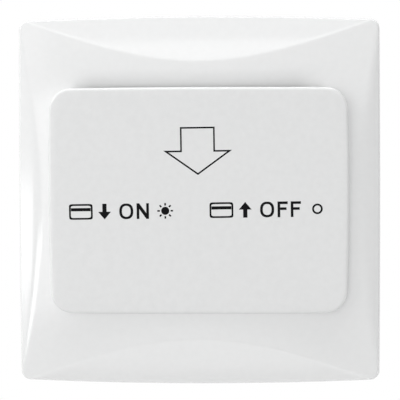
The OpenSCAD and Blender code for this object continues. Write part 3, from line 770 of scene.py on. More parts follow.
def clean(piece: bpy.types.Object) -> None:
    """Merges doubles and turns the faces of a closed mesh outwards.

    Args:
        piece: The piece.
    """
    work = bmesh.new()
    work.from_mesh(piece.data)
    bmesh.ops.remove_doubles(work, verts=work.verts, dist=MERGE)
    bmesh.ops.dissolve_degenerate(work, edges=work.edges, dist=SLIVER)
    bmesh.ops.recalc_face_normals(work, faces=work.faces)
    work.to_mesh(piece.data)
    work.free()
    piece.data.update()


def smooth(piece: bpy.types.Object, angle: float = 35.0) -> None:
    """Shades a piece smooth, with sharp edges past an angle in degrees."""
    piece.data.polygons.foreach_set("use_smooth", [True] * len(piece.data.polygons))
    piece.data.set_sharp_from_angle(angle=math.radians(angle))


def level_shading(piece: bpy.types.Object) -> None:
    """Keeps large flat faces level next to rounded edges, by normals weighted by area.

    Args:
        piece: The piece, already shaded smooth.
    """
    weigh = piece.modifiers.new("normals", "WEIGHTED_NORMAL")
    weigh.mode = "FACE_AREA"
    weigh.weight = 100  # the most that Blender allows
    weigh.keep_sharp = True
    evaluate(piece)


def dress_piece(piece: bpy.types.Object, finish: Finish) -> None:
    """Gives a piece one finish in all its faces."""
    piece.data.materials.clear()
    piece.data.materials.append(finish.material())


def strips(rings: int, count: int) -> list[tuple[int, ...]]:
    """Quads between neighbouring closed rings.

    Args:
        rings: How many rings.
        count: Points in each ring.

    Returns:
        The faces.
    """
    faces = []
    for low in range(0, (rings - 1) * count, count):
        high = low + count
        for step in range(count):
            turn = (step + 1) % count
            faces.append((low + step, low + turn, high + turn, high + step))
    return faces


def block(low: Spot, high: Spot) -> tuple[np.ndarray, list[tuple[int, ...]]]:
    """A box between two wall-view corners.

    Args:
        low: Lowest corner.
        high: Highest corner.

    Returns:
        Points in millimetres and faces.
    """
    points = np.array([(x, y, z) for z in (low[2], high[2]) for y in (low[1], high[1]) for x in (low[0], high[0])])
    faces = [(0, 2, 3, 1), (4, 5, 7, 6), (0, 1, 5, 4), (2, 6, 7, 3), (0, 4, 6, 2), (1, 3, 7, 5)]
    return points, faces


def blocks_object(name: str, boxes: list[tuple[Spot, Spot]]) -> bpy.types.Object:
    """One mesh of several boxes.

    Args:
        name: The object's name.
        boxes: Corners of each box, in the wall view.

    Returns:
        The object.
    """
    points, faces = [], []
    for low, high in boxes:
        some, quads = block(low, high)
        faces += [tuple(index + len(some) * len(points) for index in quad) for quad in quads]
        points.append(some)
    return new_object(name, to_row(np.concatenate(points)), faces)


def join(piece: bpy.types.Object, other: bpy.types.Object) -> None:
    """Adds another object's mesh to a piece and removes the other.

    Args:
        piece: What stays.
        other: What goes into it.
    """
    work = bmesh.new()
    work.from_mesh(piece.data)
    work.from_mesh(other.data)
    work.to_mesh(piece.data)
    work.free()
    mesh = other.data
    bpy.data.objects.remove(other)
    bpy.data.meshes.remove(mesh)


def soften(piece: bpy.types.Object, width: float, segments: int = 2, angle: float = 40.0) -> None:
    """Rounds the edges of a piece with a Bevel modifier and applies it.

    Args:
        piece: The piece.
        width: Width of the rounding in millimetres.
        segments: Faces across the rounding.
        angle: Only edges sharper than this are rounded, in degrees.
    """
    bevel = piece.modifiers.new("edges", "BEVEL")
    bevel.width = width * MM
    bevel.segments = segments
    bevel.limit_method = "ANGLE"
    bevel.angle_limit = math.radians(angle)
    bevel.use_clamp_overlap = True
    evaluate(piece)


def place_piece(piece: bpy.types.Object, nodes: tuple[str, ...]) -> None:
    """Hangs a piece on the fixed body and says what it stands for.

    Args:
        piece: The piece.
        nodes: CAD nodes that the piece replaces.
    """
    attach(piece, "base")
    if nodes:
        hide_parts(*nodes)
    LOG.info("%s: %d faces, replaces %s", piece.name, len(piece.data.polygons), ", ".join(nodes) or "nothing")


@dataclass
class Outline:
    """A rounded rectangle whose sides bow out, as points that match those of another one."""

    width: float
    height: float
    bow_x: float = 0.0
    bow_y: float = 0.0
    corner_r: float = 1.0
    arc_steps: int = 14
    side_steps: int = 96
    shift_y: float = 0.0

    def points(self) -> np.ndarray:
        """Gives the outline, counter-clockwise from the upper right corner.

        Returns:
            Rows of x and y in millimetres.
        """
        corner_x = self.width / 2.0 - self.corner_r
        corner_y = self.height / 2.0 - self.corner_r
        centres = [(corner_x, corner_y), (-corner_x, corner_y), (-corner_x, -corner_y), (corner_x, -corner_y)]
        found: list[Point] = []
        for quarter, centre in enumerate(centres):
            for step in range(self.arc_steps + 1):
                angle = math.pi / 2.0 * (quarter + step / self.arc_steps)
                found.append(
                    (centre[0] + self.corner_r * math.cos(angle), centre[1] + self.corner_r * math.sin(angle))
                )
            start = found[-1]
            after = centres[(quarter + 1) % len(centres)]
            angle = math.pi / 2.0 * (quarter + 1)
            end = (after[0] + self.corner_r * math.cos(angle), after[1] + self.corner_r * math.sin(angle))
            for step in range(1, self.side_steps):
                share = step / self.side_steps
                found.append((start[0] + (end[0] - start[0]) * share, start[1] + (end[1] - start[1]) * share))
        flat = np.array(found)
        swell_x = 1.0 + 2.0 * self.bow_x / self.width * (1.0 - (2.0 * flat[:, 1] / self.height) ** 2)
        swell_y = 1.0 + 2.0 * self.bow_y / self.height * (1.0 - (2.0 * flat[:, 0] / self.width) ** 2)
        return np.stack([flat[:, 0] * swell_x, flat[:, 1] * swell_y + self.shift_y], axis=1)


@dataclass
class ShapeTree:
    """A Geometry Nodes tree with named inputs, run once on a carrier object."""

    name: str
    sizes: dict[str, float]
    tree: bpy.types.GeometryNodeTree = field(init=False)
    graph: Graph = field(init=False)
    source: bpy.types.Node = field(init=False)

    def __post_init__(self) -> None:
        """Makes the tree and its sockets."""
        self.tree = bpy.data.node_groups.new(self.name, "GeometryNodeTree")
        self.tree.is_modifier = True
        sockets = self.tree.interface
        sockets.new_socket(name="Geometry", in_out="INPUT", socket_type="NodeSocketGeometry")
        for name in self.sizes:
            sockets.new_socket(name=name, in_out="INPUT", socket_type="NodeSocketFloat")
        sockets.new_socket(name="Finish", in_out="INPUT", socket_type="NodeSocketMaterial")
        sockets.new_socket(name="Geometry", in_out="OUTPUT", socket_type="NodeSocketGeometry")
        self.graph = Graph(self.tree)
        self.source = self.graph.node("NodeGroupInput")

    def size(self, name: str) -> bpy.types.NodeSocket:
        """The socket of a named size."""
        return self.source.outputs[name]

    def close(self, geometry: bpy.types.NodeSocket) -> None:
        """Ends the tree in Realize Instances and Set Material.

        Args:
            geometry: What the tree has made.
        """
        real = self.graph.node("GeometryNodeRealizeInstances")
        self.graph.feed(real.inputs[0], geometry)
        dressed = self.graph.node("GeometryNodeSetMaterial")
        self.graph.fill(dressed, Geometry=real.outputs[0], Material=self.source.outputs["Finish"])
        self.graph.feed(self.graph.node("NodeGroupOutput").inputs[0], dressed.outputs[0])

    def run(self, carrier: bpy.types.Object, finish: Finish) -> None:
        """Runs the tree on a carrier and leaves a plain mesh.

        Args:
            carrier: The object whose mesh the tree reads.
            finish: The finish of the result.
        """
        modifier = carrier.modifiers.new(self.name, "NODES")
        modifier.node_group = self.tree
        for item in self.tree.interface.items_tree:
            if item.in_out == "INPUT" and item.name in self.sizes:
                modifier[item.identifier] = self.sizes[item.name]
            elif item.in_out == "INPUT" and item.name == "Finish":
                modifier[item.identifier] = finish.material()
        evaluate(carrier)


@dataclass
class FrontFrame:
    """The glossy domed frame: a spherical crown, four bulged flanks, a bowed outline and the dished lip of the mouth.

    The rings that carry it lie close together at the rim; rim_rings gives their distances from the edge.
    """

    size: float = 86.0
    end_bow: float = 1.0
    side_bow: float = 0.2
    corner_r: float = 2.2
    rim_h: float = 8.8
    crown_h: float = 12.6
    end_flank: float = 11.1
    side_flank: float = 5.3
    bulge: float = 0.16
    wall: float = 2.0
    window_w: float = 60.6
    window_low: float = -24.7
    window_top: float = 25.4
    mouth_w: float = 59.0
    lip_drop: float = 0.8
    lip_power: float = 1.5
    lip_fade: float = 6.0
    ridge_y: float = 31.0
    edge_low: float = 7.7
    edge_slope: float = 3.5
    edge_soft: float = 0.6
    end_crease: float = 0.1
    side_crease: float = 0.5
    bow_share: float = 0.6
    inner_corner_r: float = 0.6
    window_corner_r: float = 0.3
    rim_rings: tuple[float, ...] = (0.0, 0.03, 0.07, 0.11, 0.16, 0.22, 0.3, 0.38, 0.47, 0.57, 0.7, 0.85, 1.0, 1.2)
    crown_rings: int = 46
    inner_rings: int = 18
    slot_x: float = 33.15
    slot_levels: Point = (-13.0, 13.0)
    slot_half: Point = (1.3, 3.3)
    slot_span: Point = (1.0, 13.5)
    prise_low: Spot = (-4.0, -46.0, -1.0)
    prise_high: Spot = (4.0, -40.9, 1.4)
    hook_x: float = 22.0
    hook_w: float = 8.0
    hook_y: float = 38.3
    hook_t: float = 1.5
    hook_span: Point = (0.5, 8.8)
    nose_y: float = 37.3
    nose_root: float = 0.2
    nose_top: float = 1.1
    hook_edge: float = 0.12
    sharp_angle: float = 40.0
    finish: Finish = field(
        default_factory=lambda: Moulding(
            "frame_gloss_white",
            (0.86, 0.865, 0.865),
            roughness=0.1,
            grain=1.6,
            depth=0.0015,
            mottle=0.04,
            patch=1.5,
            dulling=0.04,
            ior=1.75,
        )
    )

    @property
    def dome_r(self) -> float:
        """Radius of the crown's sphere, which meets the rim height at the corners."""
        half, rise = self.size / 2.0, self.crown_h - self.rim_h
        return (2.0 * half * half + rise * rise) / (2.0 * rise)

    def dome_h(self, x: np.ndarray | float, y: np.ndarray | float) -> np.ndarray | float:
        """Height of the crown over a wall-view point, or over many."""
        return self.crown_h - self.dome_r + np.sqrt(self.dome_r**2 - np.square(x) - np.square(y))

    def flank_arc(self, edge: float, width: float) -> Spot:
        """The arc of a flank.

        Args:
            edge: Distance of the outer edge from the middle.
            width: Width of the flank.

        Returns:
            Offset, height and radius of the arc's centre.
        """
        rise = float(self.dome_h(edge - width, 0.0)) - self.rim_h
        chord = math.hypot(width, rise)
        radius = (chord * chord / 4.0 + self.bulge**2) / (2.0 * self.bulge)
        offset = edge - width / 2.0 - rise / chord * (radius - self.bulge)
        height = self.rim_h + rise / 2.0 - width / chord * (radius - self.bulge)
        return offset, height, radius

    def carrier(self) -> bpy.types.Object:
        """Makes the flat rings that the tree lifts, from the rim's foot in to the window and back along the inner face.

        Returns:
            A mesh in the wall view, with the distance from the edge, the wall's inset and the lift at each point.
        """
        inner_size = self.size - 2.0 * self.wall
        outline = Outline(self.size, self.size, self.side_bow, self.end_bow, self.corner_r).points()
        inner = Outline(inner_size, inner_size, self.side_bow, self.end_bow, self.inner_corner_r).points()
        window = Outline(
            self.window_w,
            self.window_top - self.window_low,
            corner_r=self.window_corner_r,
            shift_y=(self.window_top + self.window_low) / 2.0,
        ).points()
        reach = np.linalg.norm(window - outline, axis=1, keepdims=True)
        shares = [distance / reach for distance in self.rim_rings]
        last = shares[-1]
        shares += [last + (1.0 - last) * step / self.crown_rings for step in range(1, self.crown_rings + 1)]
        back = [window + (inner - window) * step / self.inner_rings for step in range(self.inner_rings + 1)]
        foot = (outline, np.zeros(len(outline)), 0.0, 0.0)
        deep = np.full(len(outline), FAR)
        rings = [foot]
        for share in shares:
            ring = outline + (window - outline) * share
            rings.append((ring, self._edge_distance(ring, outline), 0.0, 1.0))
        rings += [(ring, deep, self.wall, 1.0) for ring in back]
        rings += [(inner, deep, self.wall, 0.0), foot]
        plan, edges, insets, lifts = zip(*rings)
        count = len(outline)
        flat = np.concatenate(plan)
        points = np.concatenate([flat, np.zeros((len(flat), 1))], axis=1) * MM
        made = new_object("front_frame_shell", points, strips(len(plan), count))
        numbers = {
            "edge": np.concatenate(edges) * MM,
            "inset": np.repeat(insets, count) * MM,
            "lift": np.repeat(lifts, count),
        }
        for name, values in numbers.items():
            made.data.attributes.new(name, "FLOAT", "POINT").data.foreach_set("value", values.astype(np.float32))
        return made

    @staticmethod
    def _edge_distance(ring: np.ndarray, outline: np.ndarray) -> np.ndarray:
        """Distance of each ring point from the outline.

        Args:
            ring: The ring's points.
            outline: The outline's points.

        Returns:
            Distances in millimetres.
        """
        start, end = outline, np.roll(outline, -1, axis=0)
        run = end - start
        rel = ring[:, None, :] - start[None, :, :]
        share = np.clip((rel * run).sum(axis=2) / np.maximum((run * run).sum(axis=1), TINY), 0.0, 1.0)
        return np.linalg.norm(rel - share[:, :, None] * run, axis=2).min(axis=1)

    def tree(self) -> ShapeTree:
        """Makes the tree that lifts the rings to the frame's rule.

        Returns:
            The tree, with every size in metres.
        """
        end_arc = self.flank_arc(self.size / 2.0 + self.end_bow, self.end_flank)
        side_arc = self.flank_arc(self.size / 2.0 + self.side_bow, self.side_flank)
        sizes = {
            "Crown Height": self.crown_h,
            "Dome Radius": self.dome_r,
            "End Offset": end_arc[0],
            "End Height": end_arc[1],
            "End Radius": end_arc[2],
            "Side Offset": side_arc[0],
            "Side Height": side_arc[1],
            "Side Radius": side_arc[2],
            "Ridge Y": self.ridge_y,
            "Lip Run": self.ridge_y - self.window_top,
            "Lip Drop": self.lip_drop,
            "Lip Fade": self.lip_fade,
            "Mouth Half": self.mouth_w / 2.0,
            "Edge Low": self.edge_low,
            "Edge Soft": self.edge_soft,
            "End Crease": self.end_crease,
            "Side Crease": self.side_crease,
            "Half Width": self.size / 2.0,
            "End Bow": self.end_bow * self.bow_share,
        }
        made = ShapeTree("domed_shell", {name: value * MM for name, value in sizes.items()})
        for name, value in (("Edge Slope", self.edge_slope), ("Lip Power", self.lip_power)):
            made.sizes[name] = value
            made.tree.interface.new_socket(name=name, in_out="INPUT", socket_type="NodeSocketFloat")
        graph = made.graph
        place = graph.node("ShaderNodeSeparateXYZ")
        graph.feed(place.inputs[0], graph.node("GeometryNodeInputPosition").outputs[0])
        x, y, flat_z = place.outputs
        edge, inset, lift = (self._attribute(graph, name) for name in ("edge", "inset", "lift"))

        def sphere_or_arc(radius: Feed, low: Feed, squares: Feed) -> bpy.types.NodeSocket:
            """Height of a round surface, set in by the wall.

            Args:
                radius: Its radius.
                low: Height of its centre.
                squares: Square of the distance from the centre along the wall.

            Returns:
                The height's socket.
            """
            inner = graph.math("SUBTRACT", radius, inset)
            under = graph.math("SUBTRACT", graph.math("MULTIPLY", inner, inner), squares)
            return graph.math("ADD", low, graph.math("SQRT", graph.math("MAXIMUM", under, 0.0)))

        def square(value: Feed) -> bpy.types.NodeSocket:
            """A value times itself."""
            return graph.math("MULTIPLY", value, value)

        def flank(name: str, across: Feed) -> bpy.types.NodeSocket:
            """Height of a flank's bulged surface.

            Args:
                name: Which pair of flanks, as in the sizes' names.
                across: Distance from the middle of the frame.

            Returns:
                The height's socket.
            """
            past = graph.math("SUBTRACT", graph.math("ABSOLUTE", across), made.size(f"{name} Offset"))
            off = graph.math("MAXIMUM", past, 0.0)
            return sphere_or_arc(made.size(f"{name} Radius"), made.size(f"{name} Height"), square(off))

        dome = sphere_or_arc(
            made.size("Dome Radius"),
            graph.math("SUBTRACT", made.size("Crown Height"), made.size("Dome Radius")),
            graph.math("ADD", square(x), square(y)),
        )
        bowed = graph.math("MULTIPLY", square(graph.math("DIVIDE", x, made.size("Half Width"))), made.size("End Bow"))
        end = flank("End", graph.math("ADD", graph.math("ABSOLUTE", y), bowed))
        height = graph.math("SMOOTH_MIN", dome, end, made.size("End Crease"))
        height = graph.math("SMOOTH_MIN", height, flank("Side", x), made.size("Side Crease"))
        down = graph.math("DIVIDE", graph.math("SUBTRACT", made.size("Ridge Y"), y), made.size("Lip Run"))
        sunk = graph.math("POWER", graph.math("MINIMUM", graph.math("MAXIMUM", down, 0.0), 1.0), made.size("Lip Power"))
        beside = graph.math("SUBTRACT", made.size("Mouth Half"), graph.math("ABSOLUTE", x))
        within = graph.node("ShaderNodeMapRange", interpolation_type="SMOOTHSTEP")
        for socket, value in zip(within.inputs, (beside, 0.0, made.size("Lip Fade"), 0.0, 1.0)):
            graph.feed(socket, value)
        above = graph.math("GREATER_THAN", y, 0.0)
        sunk = graph.math("MULTIPLY", graph.math("MULTIPLY", sunk, above), within.outputs[0])
        height = graph.math("SUBTRACT", height, graph.math("MULTIPLY", sunk, made.size("Lip Drop")))
        rim = graph.math("ADD", made.size("Edge Low"), graph.math("MULTIPLY", edge, made.size("Edge Slope")))
        height = graph.math("SMOOTH_MIN", height, rim, made.size("Edge Soft"))
        raised = graph.math("ADD", flat_z, graph.math("MULTIPLY", graph.math("SUBTRACT", height, flat_z), lift))
        where = graph.node("ShaderNodeCombineXYZ")
        for socket, value in zip(where.inputs, (x, y, raised)):
            graph.feed(socket, value)
        moved = graph.node("GeometryNodeSetPosition")
        graph.fill(moved, Geometry=made.source.outputs["Geometry"], Position=where.outputs[0])
        turned = graph.node("GeometryNodeTransform")
        graph.fill(turned, Geometry=moved.outputs[0], Rotation=(math.pi / 2.0, 0.0, 0.0))
        made.close(turned.outputs[0])
        return made

    @staticmethod
    def _attribute(graph: Graph, name: str) -> bpy.types.NodeSocket:
        """Reads a named number of the carrier's points.

        Args:
            graph: The tree.
            name: The number's name.

        Returns:
            Its socket.
        """
        made = graph.node("GeometryNodeInputNamedAttribute", data_type="FLOAT")
        made.inputs["Name"].default_value = name
        return made.outputs["Attribute"]

    def cutters(self) -> bpy.types.Object:
        """Makes boxes for the panel's four hook slots and the slot for prising the frame off.

        Returns:
            One object of all the boxes.
        """
        half_x, half_y = self.slot_half
        low, high = self.slot_span
        slots = [
            ((x - half_x, y - half_y, low), (x + half_x, y + half_y, high))
            for x in (-self.slot_x, self.slot_x)
            for y in self.slot_levels
        ]
        return blocks_object("frame_slots", [*slots, (self.prise_low, self.prise_high)])

    def hooks(self) -> bpy.types.Object:
        """Makes the four snap hooks that hold the frame on the plate.

        Returns:
            One object of a stem and a nose for each hook.
        """
        stem = (self.hook_y, self.hook_y + self.hook_t, *self.hook_span)
        nose = (self.nose_y, self.hook_y + self.nose_root, self.hook_span[0], self.nose_top)
        boxes = []
        for way in (-1, 1):
            for middle in (-self.hook_x, self.hook_x):
                x0, x1 = middle - self.hook_w / 2.0, middle + self.hook_w / 2.0
                for near, far, low, high in (stem, nose):
                    y0, y1 = sorted((way * near, way * far))
                    boxes.append(((x0, y0, low), (x1, y1, high)))
        made = blocks_object("frame_hooks", boxes)
        soften(made, self.hook_edge)
        return made

    def build(self) -> bpy.types.Object:
        """Makes and dresses the frame.

        Returns:
            The finished piece.
        """
        piece = self.carrier()
        self.tree().run(piece, self.finish)
        clean(piece)
        cutter = self.cutters()
        cut = piece.modifiers.new("slots", "BOOLEAN")
        cut.operation = "DIFFERENCE"
        cut.solver = "EXACT"
        cut.object = cutter
        evaluate(piece)
        bpy.data.objects.remove(cutter)
        join(piece, self.hooks())
        smooth(piece, self.sharp_angle)
        dress_piece(piece, self.finish)
        place_piece(piece, ("front_frame",))
        return piece


@dataclass
class CardPanel:
    """The satin panel in front of the card: a plate with a rounded edge on a skirt that seats on the crown."""

    crown: FrontFrame
    width: float = 70.0
    height: float = 53.2
    side_bow: float = 0.45
    end_bow: float = 0.2
    corner_r: float = 5.0
    edge_r: float = 0.8
    plate: float = 1.5
    skirt: float = 1.5
    middle: float = 13.4
    lean: float = 2.0
    mouth_w: float = 59.0
    window_w: float = 60.0
    window_low: float = -24.4
    seat: float = 0.1
    seat_start: float = -5.0
    seat_rounds: int = 12
    edge_steps: int = 8
    arc_steps: int = 20
    side_steps: int = 118
    least_r: float = 0.4
    face_insets: tuple[float, ...] = (12.0, 5.0, 2.0)
    back_inset: float = 10.0
    hook_levels: Point = (-13.0, 13.0)
    hook_half: float = 3.0
    hook_low: float = 7.8
    hook_root: float = 0.8
    hook_stem: Point = (32.1, 33.4)
    hook_nose: Point = (33.3, 34.2)
    nose_top: float = 8.95
    hook_edge: float = 0.12
    sharp_angle: float = 30.0
    finish: Finish = field(
        default_factory=lambda: Moulding(
            "panel_satin_white",
            (0.83, 0.835, 0.835),
            roughness=0.22,
            grain=0.16,
            depth=0.0022,
            mottle=0.065,
            patch=1.5,
            dulling=0.05,
            ior=1.6,
        )
    )

    def lean_points(self, flat: np.ndarray) -> np.ndarray:
        """Turns points of the panel's own plane into the wall view.

        Args:
            flat: Rows of x, y and the height off the panel's face.

        Returns:
            Rows of x, y and z in the wall view.
        """
        angle = math.radians(self.lean)
        y = flat[:, 1] * math.cos(angle) - flat[:, 2] * math.sin(angle)
        z = self.middle + flat[:, 1] * math.sin(angle) + flat[:, 2] * math.cos(angle)
        return np.stack([flat[:, 0], y, z], axis=1)

    def ring(self, inset: float) -> np.ndarray:
        """Gives the panel's outline, set in by a distance.

        Args:
            inset: How far.

        Returns:
            Rows of x and y in the panel's plane.
        """
        return Outline(
            self.width - 2.0 * inset,
            self.height - 2.0 * inset,
            self.side_bow,
            self.end_bow,
            max(self.corner_r - inset, self.least_r),
            self.arc_steps,
            self.side_steps,
        ).points()

    def seat_depth(self, flat: np.ndarray) -> np.ndarray:
        """Depth below the face at which the skirt meets the crown.

        Args:
            flat: Rows of x and y in the panel's plane.

        Returns:
            Depths in millimetres, below zero.
        """
        depth = np.full(len(flat), self.seat_start)
        for _ in range(self.seat_rounds):
            there = self.lean_points(np.column_stack([flat, depth]))
            depth -= there[:, 2] - (self.crown.dome_h(there[:, 0], there[:, 1]) + self.seat)
        return depth

    def shell(self) -> bpy.types.Object:
        """The plate with its rounded edge, the skirt and the open mouth at its top.

        Returns:
            A closed mesh.
        """
        outer, inner = self.ring(0.0), self.ring(self.skirt)
        count = len(outer)
        in_mouth = (np.abs(outer[:, 0]) < self.mouth_w / 2.0) & (outer[:, 1] > 0.0)
        rings = [np.column_stack([self.ring(inset), np.zeros(count)]) for inset in self.face_insets]
        for step in range(self.edge_steps + 1):
            angle = math.pi / 2.0 * step / self.edge_steps
            inset, drop = self.edge_r * (1.0 - math.sin(angle)), self.edge_r * (math.cos(angle) - 1.0)
            edge = self.ring(inset)
            rings.append(np.column_stack([edge, np.maximum(drop, self.seat_depth(edge))]))
        back = np.full(count, -self.plate)
        low = np.array([-self.window_w / 2.0, self.window_low])
        inside = np.clip(inner, low, np.array([self.window_w / 2.0, inner[:, 1].max()]))
        rings.append(np.column_stack([outer, np.where(in_mouth, back, self.seat_depth(outer))]))
        rings.append(np.column_stack([inner, np.where(in_mouth, back, self.seat_depth(inner))]))
        rings.append(np.column_stack([inner, np.maximum(back, self.seat_depth(inner))]))
        rings.append(np.column_stack([inside, np.maximum(back, self.seat_depth(inside))]))
        rings.append(np.column_stack([inside, back]))
        rings.append(np.column_stack([self.ring(self.back_inset), back]))
        faces = strips(len(rings), count)
        faces.append(tuple(range(count)))
        faces.append(tuple(reversed(range((len(rings) - 1) * count, len(rings) * count))))
        made = new_object("card_panel_shell", to_row(self.lean_points(np.concatenate(rings))), faces)
        clean(made)
        return made

    def hooks(self) -> bpy.types.Object:
        """Makes the four hooks behind the panel.

        Returns:
            One object of a stem and a nose for each hook.
        """
        boxes = []
        for side in (-1, 1):
            for level in self.hook_levels:
                face = self.middle + level * math.tan(math.radians(self.lean))
                for reach, high in ((self.hook_stem, face - self.hook_root), (self.hook_nose, self.nose_top)):
                    x0, x1 = sorted(side * x for x in reach)
                    boxes.append(((x0, level - self.hook_half, self.hook_low), (x1, level + self.hook_half, high)))
        made = blocks_object("panel_hooks", boxes)
        soften(made, self.hook_edge)
        return made

    def build(self) -> bpy.types.Object:
        """Makes and dresses the panel.

        Returns:
            The finished piece.
        """
        piece = self.shell()
        join(piece, self.hooks())
        smooth(piece, self.sharp_angle)
        dress_piece(piece, self.finish)
        place_piece(piece, ("card_panel",))
        return piece


@dataclass
class PanelPrint:
    """The printed signs: a large outlined arrow and a line of plain signs for card in, on, card out and off."""

    panel: CardPanel
    line: float = 0.38
    arrow_top: float = 17.45
    arrow_shoulder: float = 11.95
    arrow_tip: float = 6.15
    shaft_half: float = 4.08
    head_half: float = 8.1
    legend_y: float = -2.2
    legend_h: float = 3.7
    stroke: float = 0.62
    on_x: float = -30.6
    off_x: float = 2.6
    card_gap: float = 1.3
    word_gap: float = 2.0
    round_gap: float = 0.8
    bar_gap: float = 0.7
    card_w: float = 5.6
    card_line: float = 0.42
    card_power: float = 9.0
    card_points: int = 64
    stripe_drop: float = 0.95
    stripe_h: float = 0.75
    stripe_inset: float = 0.46
    small_w: float = 3.0
    small_shaft: float = 0.5
    small_neck: float = 0.05
    o_width: float = 3.3
    o_power: float = 2.4
    o_thin: float = 0.9
    n_width: float = 2.9
    n_slant: float = 1.35
    f_width: float = 2.4
    f_short: float = 0.3
    f_raise: float = 0.15
    lamp_r: float = 0.95
    dark_r: Point = (1.25, 0.8)
    ray_count: int = 8
    ray_reach: Point = (1.25, 1.85)
    ray_half: float = 0.19
    turn: float = 0.6
    film: float = 0.012
    finish: Finish = field(default_factory=lambda: Ink("print_black", (0.006, 0.006, 0.007)))

    @staticmethod
    def inset(points: list[Point], distance: float) -> list[Point]:
        """A closed shape set in by a distance, with mitred corners.

        Args:
            points: The shape's corners, counter-clockwise.
            distance: How far.

        Returns:
            The inner corners.
        """
        found = []
        for index, here in enumerate(points):
            before, after = points[index - 1], points[(index + 1) % len(points)]
            first = Vector((here[0] - before[0], here[1] - before[1])).normalized()
            second = Vector((after[0] - here[0], after[1] - here[1])).normalized()
            left, right = Vector((-first.y, first.x)), Vector((-second.y, second.x))
            mitre = (left + right) / (1.0 + left.dot(right))
            found.append((here[0] + mitre.x * distance, here[1] + mitre.y * distance))
        return found

    @staticmethod
    def oval(centre: Point, half: Point, power: float = 2.0, steps: int = 40) -> list[Point]:
        """A rounded loop.

        Args:
            centre: Its middle.
            half: Half its width and height.
            power: 2 for an ellipse, more for a squarer loop.
            steps: Its points.

        Returns:
            The loop, counter-clockwise.
        """
        found = []
        for step in range(steps):
            angle = 2.0 * math.pi * step / steps
            cos, sin = math.cos(angle), math.sin(angle)
            found.append(
                (
                    centre[0] + half[0] * math.copysign(abs(cos) ** (2.0 / power), cos),
                    centre[1] + half[1] * math.copysign(abs(sin) ** (2.0 / power), sin),
                )
            )
        return found

    def big_arrow(self) -> Loops:
        """Draws the outlined arrow above the line of signs.

        Returns:
            Its outer and inner loop.
        """
        points = [
            (-self.shaft_half, self.arrow_top),
            (-self.shaft_half, self.arrow_shoulder),
            (-self.head_half, self.arrow_shoulder),
            (0.0, self.arrow_tip),
            (self.head_half, self.arrow_shoulder),
            (self.shaft_half, self.arrow_shoulder),
            (self.shaft_half, self.arrow_top),
        ]
        return [points, self.inset(points, self.line)]

    def card_sign(self, left: float) -> tuple[Loops, float]:
        """Draws an outlined card with a stripe across it.

        Args:
            left: Where it starts.

        Returns:
            Its loops and where it ends.
        """
        half_w, half_h = self.card_w / 2.0, self.legend_h / 2.0
        middle = (left + half_w, self.legend_y)
        outer = self.oval(middle, (half_w, half_h), self.card_power, self.card_points)
        within = (half_w - self.card_line, half_h - self.card_line)
        inner = self.oval(middle, within, self.card_power, self.card_points)
        top = self.legend_y + half_h - self.stripe_drop
        low = top - self.stripe_h
        near, far = left + self.stripe_inset, left + self.card_w - self.stripe_inset
        return [outer, inner, [(near, low), (far, low), (far, top), (near, top)]], left + self.card_w

    def small_arrow(self, left: float, turn: Turn) -> tuple[Loops, float]:
        """Draws a filled arrow.

        Args:
            left: Where it starts.
            turn: Which way it points.

        Returns:
            Its loop and where it ends.
        """
        half_w, half_h, shaft, neck = self.small_w / 2.0, self.legend_h / 2.0, self.small_shaft, self.small_neck
        middle = left + half_w
        points = [
            (middle - shaft, -half_h),
            (middle + shaft, -half_h),
            (middle + shaft, neck),
            (middle + half_w, neck),
            (middle, half_h),
            (middle - half_w, neck),
            (middle - shaft, neck),
        ]
        return [[(x, self.legend_y + turn.value * y) for x, y in points]], left + self.small_w

    def letter_o(self, left: float) -> tuple[Loops, float]:
        """Draws a bold round letter.

        Args:
            left: Where it starts.

        Returns:
            Its loops and where it ends.
        """
        middle = (left + self.o_width / 2.0, self.legend_y)
        half = (self.o_width / 2.0, self.legend_h / 2.0)
        inner = (half[0] - self.stroke, half[1] - self.stroke * self.o_thin)
        return [self.oval(middle, half, self.o_power), self.oval(middle, inner, self.o_power)], left + self.o_width

    def letter_n(self, left: float) -> tuple[Loops, float]:
        """Draws a bold letter of two posts and a slant.

        Args:
            left: Where it starts.

        Returns:
            Its loop and where it ends.
        """
        low, top = self.legend_y - self.legend_h / 2.0, self.legend_y + self.legend_h / 2.0
        right = left + self.n_width
        loop = [
            (left, low),
            (left + self.stroke, low),
            (left + self.stroke, top - self.n_slant),
            (right - self.stroke, low),
            (right, low),
            (right, top),
            (right - self.stroke, top),
            (right - self.stroke, low + self.n_slant),
            (left + self.stroke, top),
            (left, top),
        ]
        return [loop], right

    def letter_f(self, left: float) -> tuple[Loops, float]:
        """Draws a bold letter of a post and two bars.

        Args:
            left: Where it starts.

        Returns:
            Its loop and where it ends.
        """
        low, top = self.legend_y - self.legend_h / 2.0, self.legend_y + self.legend_h / 2.0
        middle = self.legend_y + self.f_raise
        bar_low, bar_top = middle - self.stroke / 2.0, middle + self.stroke / 2.0
        post, right = left + self.stroke, left + self.f_width
        short = right - self.f_short
        loop = [
            (left, low),
            (post, low),
            (post, bar_low),
            (short, bar_low),
            (short, bar_top),
            (post, bar_top),
            (post, top - self.stroke),
            (right, top - self.stroke),
            (right, top),
            (left, top),
        ]
        return [loop], right

